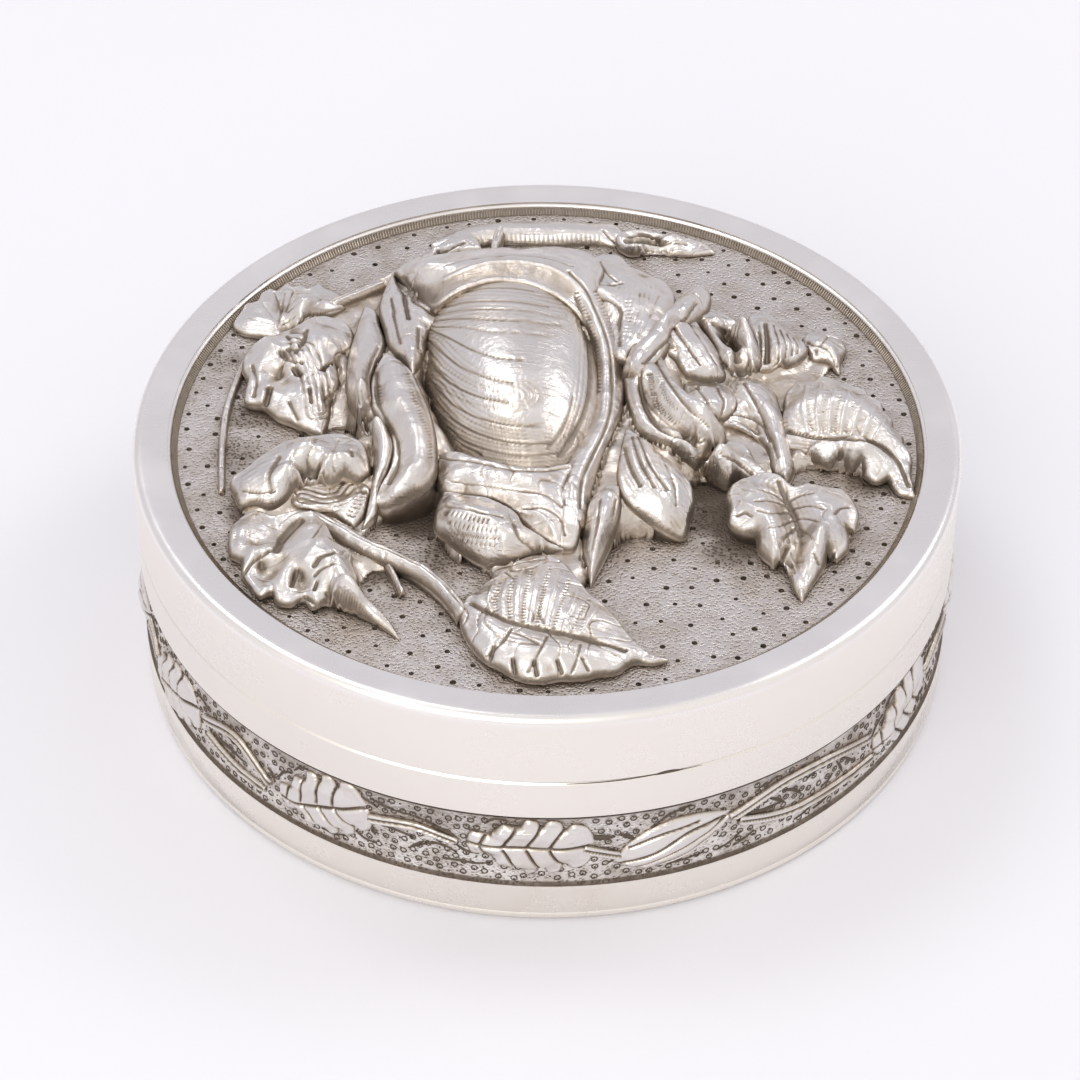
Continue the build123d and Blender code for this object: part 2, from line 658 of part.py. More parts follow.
with BuildPart() as hood_stem:
    petal(
        (-20.5, 28.0, 1.2, 1.4, 3.4, 1.6, 0.2),
        (-16.0, 31.5, 1.6, 2.2, 3.6, 1.6, 0.3),
        (-13.0, 34.5, 1.5, 2.0, 3.2, 1.5, 0.2),
        (-11.5, 36.0, 1.0, 1.2, 2.6, 1.4, 0.1),
    )
    seat_against(star_sepal, bud_hood, top_stem)

with BuildPart() as stem_link:
    petal(
        (-7.6, 38.2, 0.6, 0.6, 2.8, 1.5, 0.1),
        (-7.9, 33.0, 0.7, 0.7, 3.0, 1.5, 0.1),
        (-8.0, 25.0, 0.7, 0.7, 4.0, 1.6, 0.1),
    )
    seat_against(top_stem, hood_stem, bud_hood)

with BuildPart() as leaf_twig:
    petal(
        (-28.5, 23.0, 0.6, 0.6, 1.4, 1.0, 0.1),
        (-23.5, 26.0, 0.8, 0.8, 2.2, 1.2, 0.1),
        (-20.8, 27.4, 0.8, 0.8, 2.8, 1.4, 0.1),
    )
    seat_against(star_sepal, hood_stem, far_left_leaf)

with BuildPart() as left_stem:
    petal(
        (-36.8, 13.5, 0.4, 0.4, 0.9, 0.6, 0.1),
        (-38.8, 8.0, 0.5, 0.5, 1.0, 0.7, 0.1),
        (-39.1, 2.0, 0.5, 0.5, 1.0, 0.7, 0.1),
        (-38.9, -4.0, 0.5, 0.5, 1.0, 0.7, 0.1),
        (-38.2, -9.5, 0.4, 0.4, 1.1, 0.7, 0.1),
    )
    seat_against(crumpled_leaf, curled_leaf)

with BuildPart() as branch_stem:
    petal(
        (-29.8, -14.0, 1.0, 1.0, 2.6, 1.4, 0.1),
        (-24.0, -18.6, 1.1, 1.3, 2.4, 1.3, 0.2),
        (-17.5, -22.2, 1.2, 1.2, 2.2, 1.2, 0.2),
        (-12.5, -26.6, 1.0, 1.0, 1.9, 1.1, 0.1),
        (-9.2, -30.3, 0.8, 0.8, 1.8, 1.0, 0.1),
    )
    seat_against(front_left_leaf, curled_leaf, front_leaf, inner_left_sepal)

with BuildPart() as thorn:
    petal(
        (-22.8, -19.2, 0.7, 0.7, 2.0, 1.2, 0.1),
        (-19.8, -22.8, 0.6, 0.6, 1.5, 0.9, 0.1),
        (-17.0, -26.8, 0.15, 0.15, 0.7, 0.5, 0.2),
    )
    seat_against(branch_stem, front_left_leaf)

# ---------------------------------------------------------------- one STEP file for every piece
pieces = {
    "base_wall": base_wall,
    "base_plate": base_plate,
    "bezel": bezel,
    "frieze_leaves": frieze_leaves,
    "frieze_buds": frieze_buds,
    "frieze_stems": frieze_stems,
    "lid_shell": lid_shell,
    "lid_panel": lid_panel,
    "milled_border": milled_border,
    "rose_bud": rose_bud,
    "bud_calyx": bud_calyx,
    "bud_hood": bud_hood,
    "inner_left_sepal": inner_left_sepal,
    "star_sepal": star_sepal,
    "outer_left_sepal": outer_left_sepal,
    "shell_petal": shell_petal,
    "neck_sepal": neck_sepal,
    "lance_sepal": lance_sepal,
    "curled_petal": curled_petal,
    "pointed_petal": pointed_petal,
    "fan_petal": fan_petal,
    "side_petal": side_petal,
    "cup_petal": cup_petal,
    "ribbed_petal": ribbed_petal,
    "inner_bract": inner_bract,
    "outer_bract": outer_bract,
    "lower_bract": lower_bract,
    "front_leaf": front_leaf,
    "front_left_leaf": front_left_leaf,
    "curled_leaf": curled_leaf,
    "crumpled_leaf": crumpled_leaf,
    "far_left_leaf": far_left_leaf,
    "right_leaf": right_leaf,
    "front_right_leaf": front_right_leaf,
    "small_right_leaf": small_right_leaf,
    "top_stem": top_stem,
    "top_bud": top_bud,
    "hood_stem": hood_stem,
    "stem_link": stem_link,
    "leaf_twig": leaf_twig,
    "left_stem": left_stem,
    "branch_stem": branch_stem,
    "thorn": thorn,
}

for name, piece in pieces.items():
    piece.part.label = name
    export_step(piece.part, f"parts/{name}.step")
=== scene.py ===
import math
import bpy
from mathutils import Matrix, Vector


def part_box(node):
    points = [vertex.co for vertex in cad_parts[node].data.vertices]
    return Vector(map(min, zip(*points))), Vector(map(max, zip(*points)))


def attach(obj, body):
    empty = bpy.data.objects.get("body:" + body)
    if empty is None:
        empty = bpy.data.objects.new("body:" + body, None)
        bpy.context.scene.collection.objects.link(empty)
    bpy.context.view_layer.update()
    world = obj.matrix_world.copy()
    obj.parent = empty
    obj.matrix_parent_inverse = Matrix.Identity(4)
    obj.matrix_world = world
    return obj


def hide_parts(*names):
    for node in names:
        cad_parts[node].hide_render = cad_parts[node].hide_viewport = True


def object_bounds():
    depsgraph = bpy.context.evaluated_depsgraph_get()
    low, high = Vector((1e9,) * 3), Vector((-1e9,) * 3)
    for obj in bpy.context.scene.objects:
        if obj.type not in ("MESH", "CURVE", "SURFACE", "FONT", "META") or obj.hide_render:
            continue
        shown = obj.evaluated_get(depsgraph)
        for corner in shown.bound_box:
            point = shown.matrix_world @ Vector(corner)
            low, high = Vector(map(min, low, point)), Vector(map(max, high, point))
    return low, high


bl_info = {
    "name": "Round Betel Box",
    "version": (1, 0, 0),
    "blender": (4, 5, 0),
    "location": "View3D > Sidebar > Betel Box",
    "description": "Round silver betel box with a rose bud in high relief on its pull-off lid",
    "category": "Object",
}

import bpy
import numpy as np
from bpy.props import FloatProperty, FloatVectorProperty, IntProperty, PointerProperty
from mathutils import Vector

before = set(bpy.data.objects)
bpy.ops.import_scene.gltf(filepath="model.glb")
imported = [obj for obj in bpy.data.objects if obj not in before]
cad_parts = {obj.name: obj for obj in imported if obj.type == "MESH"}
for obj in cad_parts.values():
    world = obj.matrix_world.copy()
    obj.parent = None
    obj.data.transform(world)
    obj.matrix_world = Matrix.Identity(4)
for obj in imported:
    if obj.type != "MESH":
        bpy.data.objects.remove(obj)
cad_low, cad_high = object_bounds()

MM = 0.001


def cad_top(node):
    """Height of a CAD node's highest corner, in metres."""
    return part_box(node)[1].z


def cad_reach(node):
    """Distance of a CAD node's outermost corner from the box's axis, in metres."""
    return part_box(node)[1].x


# ---------------------------------------------------------------- settings a user would change
class BetelBoxSizes(bpy.types.PropertyGroup):
    outer_radius: FloatProperty(
        name="Outer radius", description="Plain wall of the base and the lid", unit="LENGTH",
        default=cad_reach("lid_shell"))
    base_height: FloatProperty(
        name="Base height", description="Resting face to the seam", unit="LENGTH", default=cad_top("base_wall"))
    lid_crest: FloatProperty(
        name="Lid crest", description="Resting face to the crest of the lid's rim", unit="LENGTH",
        default=cad_top("lid_shell"))
    panel_face: FloatProperty(
        name="Panel face", description="Resting face to the stippled ground of the lid", unit="LENGTH",
        default=cad_top("lid_panel"))
    wall_thickness: FloatProperty(
        name="Wall thickness", description="Sheet of the base wall", unit="LENGTH", default=1.2 * MM)
    rim_width: FloatProperty(
        name="Rim width", description="Outer wall to the rim's inner edge", unit="LENGTH", default=4.6 * MM)
    edge_rounding: FloatProperty(
        name="Edge rounding", description="Rolled edge at the foot and round the rim", unit="LENGTH",
        default=1.1 * MM)
    lathe_steps: IntProperty(
        name="Lathe steps", description="Facets round each turned piece", default=288, min=24)
    chasing_pitch: FloatProperty(
        name="Chasing pitch", description="Mesh size on the chased relief", unit="LENGTH", default=0.125 * MM)
    border_ribs: IntProperty(
        name="Border ribs", description="Milled ribs round the panel", default=760, min=3)
    pit_distance: FloatProperty(
        name="Pit distance", description="Least distance between two punched pits", unit="LENGTH",
        default=2.7 * MM)
    pit_radius: FloatProperty(
        name="Pit radius", description="Radius of a punched pit in the panel", unit="LENGTH", default=0.45 * MM)
    ring_distance: FloatProperty(
        name="Ring distance", description="Least distance between two ring punches", unit="LENGTH",
        default=1.15 * MM)


class BetelBoxColours(bpy.types.PropertyGroup):
    silver: FloatVectorProperty(
        name="Silver", description="Polished silver", subtype="COLOR", size=4, default=(0.92, 0.89, 0.865, 1))
    wall_silver: FloatVectorProperty(
        name="Wall silver", description="Plain polished walls, a little warmer than the rim", subtype="COLOR", size=4,
        default=(0.9, 0.855, 0.795, 1))
    warm_silver: FloatVectorProperty(
        name="Warm silver", description="Worn high places of the chasing", subtype="COLOR", size=4,
        default=(0.77, 0.735, 0.71, 1))
    # Bloom, oxide and ground bloom are also the colours of painted shade, mixed in where occlusion and painted shadows
    # darken.
    bloom: FloatVectorProperty(
        name="Bloom", description="Tan bloom round the hollows of the chasing", subtype="COLOR", size=4,
        default=(0.64, 0.56, 0.475, 1))
    oxide: FloatVectorProperty(
        name="Oxide", description="Dark tarnish left in the hollows", subtype="COLOR", size=4,
        default=(0.15, 0.118, 0.092, 1))
    ground: FloatVectorProperty(
        name="Ground", description="Stippled ground of the lid", subtype="COLOR", size=4,
        default=(0.66, 0.62, 0.60, 1))
    ground_bloom: FloatVectorProperty(
        name="Ground bloom", description="Brown patches of the stippled ground", subtype="COLOR", size=4,
        default=(0.54, 0.48, 0.43, 1))
    stain: FloatVectorProperty(
        name="Stain", description="Tan bloom on the rim", subtype="COLOR", size=4, default=(0.74, 0.65, 0.53, 1))
    floor: FloatVectorProperty(
        name="Floor", description="Pale table", subtype="COLOR", size=4, default=(0.84, 0.835, 0.87, 1))


def sizes():
    return bpy.context.scene.betel_box_sizes


def colours():
    return bpy.context.scene.betel_box_colours


# ---------------------------------------------------------------- materials
def add_node(tree, kind, given=(), **settings):
    """Adds a node. given holds a value or a socket for each input, by name or place; the rest are properties."""
    made = tree.nodes.new(kind)
    for key, value in settings.items():
        setattr(made, key, value)
    for key, value in dict(given).items():
        if isinstance(value, bpy.types.NodeSocket):
            tree.links.new(value, made.inputs[key])
        else:
            made.inputs[key].default_value = value
    return made


def maths(tree, operation, *values, clamp=False):
    """The result of a sum on numbers or sockets."""
    return add_node(tree, "ShaderNodeMath", dict(enumerate(values)), operation=operation,
                    use_clamp=clamp).outputs[0]


def between(tree, value, low, high, new_low=0.0, new_high=1.0):
    """A socket's range from low to high, eased and spread over a new range."""
    return add_node(tree, "ShaderNodeMapRange", {
        "Value": value, "From Min": low, "From Max": high, "To Min": new_low, "To Max": new_high},
        interpolation_type="SMOOTHSTEP").outputs["Result"]


def cloud(tree, scale, detail=3.0, place=None):
    """Noise over the object's own coordinates."""
    place = place or tree.nodes.new("ShaderNodeTexCoord").outputs["Object"]
    return add_node(tree, "ShaderNodeTexNoise", {
        "Vector": place, "Scale": scale, "Detail": detail, "Roughness": 0.6}).outputs["Fac"]


def blend(tree, share, one, other):
    """A colour between two colours."""
    return add_node(tree, "ShaderNodeMix", {"Factor": share, 6: one, 7: other}, data_type="RGBA").outputs[2]


def raised_by(tree, height, strength, distance):
    """The normal of a surface with a small relief."""
    return add_node(tree, "ShaderNodeBump", {
        "Height": height, "Strength": strength, "Distance": distance}).outputs["Normal"]


def new_group(name, inputs, outputs):
    """An empty shader node group with its named sockets. Returns the tree, its inputs and its output node."""
    group = bpy.data.node_groups.new(name, "ShaderNodeTree")
    for label, kind, value in inputs:
        socket = group.interface.new_socket(label, in_out="INPUT", socket_type=kind)
        if value is not None:
            socket.default_value = value
    for label, kind in outputs:
        group.interface.new_socket(label, in_out="OUTPUT", socket_type=kind)
    return group, group.nodes.new("NodeGroupInput").outputs, group.nodes.new("NodeGroupOutput").inputs


def oxide_and_shade_group():
    """Brown oxide in the hollows, broken up by a little noise, and a tan bloom round it; the occlusion input adds
    painted shade to both.
    """
    group, given, out = new_group(
        "oxide_and_painted_shade_in_hollows",
        [("Silver", "NodeSocketColor", None), ("Bloom", "NodeSocketColor", None),
         ("Oxide", "NodeSocketColor", None), ("Tarnish", "NodeSocketFloat", 0.0),
         ("Occlusion", "NodeSocketFloat", 1.0), ("Amount", "NodeSocketFloat", 1.0)],
        [("Color", "NodeSocketColor"), ("Mask", "NodeSocketFloat")])
    # Occlusion is painted shade, added to the oxide.
    hidden = maths(group, "SUBTRACT", 1.0, given["Occlusion"])
    dark = maths(group, "MULTIPLY_ADD", hidden, 0.55, given["Tarnish"])
    mottled = maths(group, "MULTIPLY_ADD", cloud(group, 900.0), 0.4, dark)
    share = maths(group, "MULTIPLY", between(group, mottled, 0.42, 1.3), given["Amount"], clamp=True)
    tan_and_shade = maths(group, "MULTIPLY_ADD", cloud(group, 130.0), 0.9, dark)
    warmed = blend(group, between(group, tan_and_shade, 0.42, 1.0), given["Silver"], given["Bloom"])
    group.links.new(blend(group, share, warmed, given["Oxide"]), out["Color"])
    group.links.new(share, out["Mask"])
    return group


def wear_group():
    """Fine scratches and smudges of a polished surface, as a height and a roughness."""
    group, given, out = new_group(
        "scratches_and_smudges",
        [("Roughness", "NodeSocketFloat", 0.2), ("Scratches", "NodeSocketFloat", 1.0),
         ("Smudges", "NodeSocketFloat", 0.1)],
        [("Height", "NodeSocketFloat"), ("Roughness", "NodeSocketFloat")])
    place = group.nodes.new("ShaderNodeTexCoord").outputs["Object"]
    marks = []
    for turn, stretch in ((0.35, (60.0, 2600.0, 700.0)), (-0.8, (90.0, 3100.0, 900.0))):
        along = add_node(group, "ShaderNodeMapping", {
            "Vector": place, "Rotation": (0.0, 0.0, turn), "Scale": stretch})
        marks.append(between(group, cloud(group, 1.0, 2.0, along.outputs[0]), 0.62, 0.76))
    height = maths(group, "MULTIPLY", maths(group, "ADD", *marks), given["Scratches"])
    patches = between(group, cloud(group, 95.0, 4.0), 0.42, 0.7)
    smudged = maths(group, "MULTIPLY_ADD", patches, given["Smudges"], given["Roughness"])
    group.links.new(height, out["Height"])
    group.links.new(maths(group, "MULTIPLY_ADD", height, 0.05, smudged), out["Roughness"])
    return group


def new_metal(name):
    """A material with its Principled shader set up as bare metal. Returns the material, tree and shader."""
    material = bpy.data.materials.new(name)
    material.use_nodes = True
    shader = material.node_tree.nodes["Principled BSDF"]
    shader.inputs["Metallic"].default_value = 1.0
    return material, material.node_tree, shader.inputs


def oxide_and_painted_shade(tree, groups, silver, bloom, amount, dark, reach, depth=1.0):
    """The oxide group in a material, with painted shade from ambient occlusion in the surface's recesses and between
    parts.
    """
    hidden = add_node(tree, "ShaderNodeAmbientOcclusion", {"Distance": reach}, samples=6).outputs["AO"]
    hidden = maths(tree, "POWER", hidden, depth)
    return add_node(tree, "ShaderNodeGroup", {
        "Silver": silver, "Bloom": bloom, "Oxide": colours().oxide, "Amount": amount, "Tarnish": dark,
        "Occlusion": hidden}, node_tree=groups["oxide"]).outputs


def tarnish_and_shade_of(tree):
    """The darkness written on the mesh: oxide in its hollows, and painted shade at the feet of its walls, on the bud
    and along given lines.
    """
    return add_node(tree, "ShaderNodeAttribute", attribute_name="tarnish_and_shade").outputs["Fac"]


def polished_silver(groups):
    """Plain polished silver with fine scratches, smudges and a faint tan bloom."""
    material, tree, shader = new_metal("polished_silver")
    wear = add_node(tree, "ShaderNodeGroup", {"Roughness": 0.27, "Smudges": 0.1}, node_tree=groups["wear"]).outputs
    place = tree.nodes.new("ShaderNodeTexCoord").outputs["Object"]
    height = add_node(tree, "ShaderNodeSeparateXYZ", {0: place}).outputs["Z"]
    wall = between(tree, height, sizes().lid_crest - 1.6 * MM, sizes().lid_crest - 0.5 * MM, 1.0, 0.0)
    stain = between(tree, cloud(tree, 70.0), 0.55, 0.85, 0.0, 0.3)
    silver = blend(tree, wall, colours().silver, colours().wall_silver)
    tree.links.new(blend(tree, stain, silver, colours().stain), shader["Base Color"])
    tree.links.new(wear["Roughness"], shader["Roughness"])
    tree.links.new(raised_by(tree, wear["Height"], 0.12, 0.00002), shader["Normal"])
    return material


def chased_silver(groups, name="chased_silver", reach=0.0016, roughness=0.31, amount=0.8):
    """Worn bright relief with brown oxide in its hollows and painted shade in its crevices, read from the darkness
    written on the mesh and from the occlusion of its recesses.
    """
    material, tree, shader = new_metal(name)
    # Occlusion paints shade into crevices and between overlapping parts, on top of the oxide in hollows.
    oxide = oxide_and_painted_shade(tree, groups, colours().warm_silver, colours().bloom, amount, tarnish_and_shade_of(tree), reach)
    wear = add_node(tree, "ShaderNodeGroup", {"Roughness": roughness, "Smudges": 0.12, "Scratches": 0.7},
                    node_tree=groups["wear"]).outputs
    dull = maths(tree, "MULTIPLY_ADD", oxide["Mask"], 0.3, wear["Roughness"], clamp=True)
    hammered = maths(tree, "MULTIPLY_ADD", cloud(tree, 480.0, 2.0), 2.4, cloud(tree, 1500.0, 2.0))
    height = maths(tree, "ADD", wear["Height"], hammered)
    tree.links.new(oxide["Color"], shader["Base Color"])
    tree.links.new(dull, shader["Roughness"])
    tree.links.new(raised_by(tree, height, 0.8, 0.00007), shader["Normal"])
    return material


# Painted shadows on the panel's ground beside the relief: x, y, reach in millimetres, depth.
PANEL_SHADOWS = [(19.6, -9, 5.0, 0.8), (20.4, -14.5, 5.0, 0.8), (21.6, -20, 4.4, 0.6), (7.2, -17, 4.0, 0.7),
                 (-15.6, -15.5, 4.6, 0.8), (39, -7.4, 4.4, 0.6), (-12, -21.5, 4.0, 0.4), (-21, -24, 4.6, 0.5),
                 (-26.5, -12, 4.0, 0.6), (-37, -3.6, 4.6, 0.4), (-35.4, -14.6, 3.6, 0.5), (-36.4, 3.4, 4.0, 0.4),
                 (-8.6, -31, 3.6, 0.6), (-40.4, 14, 3.4, 0.3), (39.4, 12, 3.0, 0.2)]


def painted_panel_shadows(tree, spots):
    """Painted shadows round places on the panel beside the relief, given as x, y and reach in millimetres and a depth.
    """
    place = tree.nodes.new("ShaderNodeTexCoord").outputs["Object"]
    total = 0.0
    for x, y, reach, depth in spots:
        gap = add_node(tree, "ShaderNodeVectorMath", {0: place, 1: (x * MM, y * MM, sizes().panel_face)},
                       operation="DISTANCE").outputs["Value"]
        total = maths(tree, "MAXIMUM", total, between(tree, gap, 0.3 * reach * MM, reach * MM, depth, 0.0))
    return total


def stippled_silver(groups, name="stippled_silver", grain=2500.0, base=None, spots=(), reach=0.006):
    """Matted ground: a dense field of fine punch marks with oxide between them, and painted shade from occlusion round
    what stands on it, with painted shadows at any given spots.
    """
    material, tree, shader = new_metal(name)
    place = tree.nodes.new("ShaderNodeTexCoord").outputs["Object"]
    punch = add_node(tree, "ShaderNodeTexVoronoi", {"Vector": place, "Scale": grain}).outputs["Distance"]
    dot = between(tree, punch, 0.1, 0.55)
    marks = maths(tree, "MULTIPLY_ADD", dot, -0.2, 0.2)
    cloudy = maths(tree, "MULTIPLY_ADD", cloud(tree, 260.0, 4.0), 0.8, -0.26)
    dark = maths(tree, "ADD", maths(tree, "ADD", marks, cloudy), tarnish_and_shade_of(tree))
    if spots:
        # Painted shadows at the spots, darker at the punch centres and lighter on the ridges between them.
        flecked = maths(tree, "MULTIPLY_ADD", dot, -1.1, 1.9)
        dark = maths(tree, "MULTIPLY_ADD", painted_panel_shadows(tree, spots), flecked, dark)
    # Occlusion out to reach paints shade onto the ground round the relief.
    oxide = oxide_and_painted_shade(tree, groups, base or colours().ground, colours().ground_bloom, 0.95, dark, reach, 2.0)
    tree.links.new(oxide["Color"], shader["Base Color"])
    tree.links.new(maths(tree, "MULTIPLY_ADD", oxide["Mask"], 0.25, 0.42, clamp=True), shader["Roughness"])
    rough = maths(tree, "MULTIPLY_ADD", cloud(tree, 1400.0, 2.0), 0.8, dot)
    tree.links.new(raised_by(tree, rough, 0.9, 0.00011), shader["Normal"])
    return material


def floor_material():
    """Pale matt table."""
    material = bpy.data.materials.new("pale_table")
    material.use_nodes = True
    tree = material.node_tree
    shader = tree.nodes["Principled BSDF"].inputs
    shade = between(tree, cloud(tree, 9.0, 2.0), 0.3, 0.7, 0.0, 0.04)
    tree.links.new(blend(tree, shade, colours().floor, (0.7, 0.7, 0.72, 1)), shader["Base Color"])
    shader["Roughness"].default_value = 0.75
    return material


finishes = {}


def make_finishes():
    groups = {"oxide": oxide_and_shade_group(), "wear": wear_group()}
    finishes["polished_silver"] = polished_silver(groups)
    finishes["chased_silver"] = chased_silver(groups)
    finishes["garland_silver"] = chased_silver(groups, "garland_silver", 0.0006, 0.28, 1.0)
    finishes["stippled_silver"] = stippled_silver(groups, spots=PANEL_SHADOWS)
    finishes["garland_ground"] = stippled_silver(groups, "garland_ground", 2600.0, (0.86, 0.83, 0.80, 1), reach=0.0006)
    finishes["floor"] = floor_material()


# ---------------------------------------------------------------- meshes
def new_piece(name, points, faces, finish, tarnish_and_shade=None, smooth=True):
    """A mesh object at the origin, from points in metres."""
    mesh = bpy.data.meshes.new(name)
    mesh.from_pydata([tuple(p) for p in points], [], [tuple(int(i) for i in f) for f in faces])
    if tarnish_and_shade is not None:
        attribute = mesh.attributes.new("tarnish_and_shade", "FLOAT", "POINT")
        attribute.data.foreach_set("value", np.asarray(tarnish_and_shade, np.float32))
    if smooth:
        mesh.shade_smooth()
    mesh.materials.append(finishes[finish])
    mesh.validate()
    mesh.update()
    piece = bpy.data.objects.new(name, mesh)
    bpy.context.scene.collection.objects.link(piece)
    return piece


def set_out(piece, body, slot, *nodes):
    """Says what the piece rides on and hides the CAD nodes it stands for. slot, the finish it takes, is not used."""
    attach(piece, body)
    if nodes:
        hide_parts(*nodes)


def quarter(radius, height, rounding, start, steps=8):
    """Points of a quarter round of a lathe profile, from a start angle in degrees."""
    return [(radius + rounding * math.cos(math.radians(start + 90 * k / steps)),
             height + rounding * math.sin(math.radians(start + 90 * k / steps))) for k in range(steps + 1)]


def turned_piece(name, profile, finish, tarnish_and_shade=None, smooth_below=35):
    """Revolves a closed profile of radius and height, given anticlockwise, round the box's axis."""
    steps = sizes().lathe_steps
    turns = np.linspace(0, 2 * math.pi, steps, endpoint=False)
    ring = np.array(profile, float)
    points = np.empty((steps, len(ring), 3))
    points[:, :, 0] = np.cos(turns)[:, None] * ring[None, :, 0]
    points[:, :, 1] = np.sin(turns)[:, None] * ring[None, :, 0]
    points[:, :, 2] = ring[None, :, 1]
    count = len(ring)
    step, place = np.meshgrid(np.arange(steps), np.arange(count), indexing="ij")
    after_step = (step + 1) % steps
    after_place = (place + 1) % count
    faces = np.stack([step * count + place, after_step * count + place,
                      after_step * count + after_place, step * count + after_place], -1).reshape(-1, 4)
    dark = None if tarnish_and_shade is None else np.tile(np.asarray(tarnish_and_shade, float), steps)
    piece = new_piece(name, points.reshape(-1, 3), faces, finish, dark)
    piece.data.set_sharp_from_angle(angle=math.radians(smooth_below))
    return piece


def turned_plate(name, radius, low, high, finish, rings=10):
    """A disc with a small rounding, with rings of quads and a fan at its middle."""
    steps = sizes().lathe_steps
    turns = np.linspace(0, 2 * math.pi, steps, endpoint=False)
    ring = np.stack([np.cos(turns), np.sin(turns)], -1)
    reach = np.linspace(0.08, 1.0, rings) * radius
    points = [(0, 0, high)]
    for r in reach:
        points += [(x * r, y * r, high) for x, y in ring]
    for r in reach[::-1]:
        points += [(x * r, y * r, low) for x, y in ring]
    points.append((0, 0, low))
    faces = []
    last = len(points) - 1
    for k in range(steps):
        after = (k + 1) % steps
        faces.append((0, 1 + k, 1 + after))
        for r in range(2 * rings - 1):
            a = 1 + r * steps
            b = a + steps
            faces.append((a + k, b + k, b + after, a + after))
        a = 1 + (2 * rings - 1) * steps
        faces.append((a + k, last, a + after))
    piece = new_piece(name, points, faces, finish)
    piece.data.set_sharp_from_angle(angle=math.radians(35))
    return piece


# ---------------------------------------------------------------- drawing of the relief
# The relief is drawn as it is seen from in front and above: each point has its place against the ground
# of the panel, and its height above that ground. eye is where it is seen from.
EYE = (-0.73, -334.0, 284.8)  # millimetres from the middle of the panel's face


def seen_at(points):
    """Real x and y of drawn points, whose rows are x and y seen against the ground and height above it."""
    drawn = np.asarray(points, float)
    nearer = 1 - drawn[:, 2] / EYE[2]
    real = drawn.copy()
    real[:, 0] = EYE[0] + (drawn[:, 0] - EYE[0]) * nearer
    real[:, 1] = EYE[1] + (drawn[:, 1] - EYE[1]) * nearer
    return real


def drawn_at(x, y, height):
    """Where real points are seen against the ground."""
    nearer = 1 - height / EYE[2]
    return EYE[0] + (x - EYE[0]) / nearer, EYE[1] + (y - EYE[1]) / nearer


def even_line(points, spacing, closed=False):
    """A smooth line through the points, sampled evenly. It keeps a corner where it turns back sharply."""
    p = np.asarray(points, float)
    if len(p) < 3 and not closed:
        length = np.linalg.norm(p[-1] - p[0])
        count = max(int(length / spacing), 1)
        return p[0] + (p[-1] - p[0]) * np.linspace(0, 1, count + 1)[:, None]
    ahead = np.roll(p, -1, 0)
    behind = np.roll(p, 1, 0)
    out = ahead - p
    back = p - behind
    if not closed:
        out[-1] = back[-1]
        back[0] = out[0]
    out_length = np.linalg.norm(out[:, :2], axis=1)[:, None] + 1e-9
    back_length = np.linalg.norm(back[:, :2], axis=1)[:, None] + 1e-9
    slope = (out / out_length * back_length + back / back_length * out_length) / (out_length + back_length)
    turn = np.sum(out[:, :2] / out_length * back[:, :2] / back_length, 1)
    sharp = (turn < 0.15)[:, None]
    leave = np.where(sharp, out / out_length, slope)
    arrive = np.where(sharp, back / back_length, slope)
    samples = []
    spans = len(p) if closed else len(p) - 1
    for i in range(spans):
        j = (i + 1) % len(p)
        length = np.linalg.norm(p[j, :2] - p[i, :2])
        count = max(int(math.ceil(length / spacing)), 1)
        t = (np.arange(count) / count)[:, None]
        a = leave[i] * length
        b = arrive[j] * length
        samples.append((2 * t ** 3 - 3 * t ** 2 + 1) * p[i] + (t ** 3 - 2 * t ** 2 + t) * a
                       + (3 * t ** 2 - 2 * t ** 3) * p[j] + (t ** 3 - t ** 2) * b)
    if not closed:
        samples.append(p[-1:])
    return np.concatenate(samples)


def within(loop, x, y):
    """Which of the points lie inside the closed loop."""
    found = np.zeros(x.shape, bool)
    ahead = np.roll(loop, -1, 0)
    for (x0, y0), (x1, y1) in zip(loop[:, :2], ahead[:, :2]):
        if y0 == y1:
            continue
        crosses = (y0 > y) != (y1 > y)
        found ^= crosses & (x < (x1 - x0) * (y - y0) / (y1 - y0) + x0)
    return found


def nearest_on(line, x, y, closed=False):
    """Distance to a line, distance along it, and the nearest point, for each place."""
    start = line[:, :2] if closed else line[:-1, :2]
    end = np.roll(line[:, :2], -1, 0) if closed else line[1:, :2]
    best = np.full(x.shape, 1e9)
    along = np.zeros(x.shape)
    px = np.zeros(x.shape)
    py = np.zeros(x.shape)
    side = np.zeros(x.shape)
    run = 0.0
    for (x0, y0), (x1, y1) in zip(start, end):
        dx, dy = x1 - x0, y1 - y0
        span = math.hypot(dx, dy)
        if span < 1e-9:
            continue
        t = np.clip(((x - x0) * dx + (y - y0) * dy) / span ** 2, 0, 1)
        qx, qy = x0 + t * dx, y0 + t * dy
        gap = np.hypot(x - qx, y - qy)
        nearer = gap < best
        best = np.where(nearer, gap, best)
        along = np.where(nearer, run + t * span, along)
        px = np.where(nearer, qx, px)
        py = np.where(nearer, qy, py)
        side = np.where(nearer, np.sign(dx * (y - y0) - dy * (x - x0)), side)
        run += span
    return best, along, px, py, side


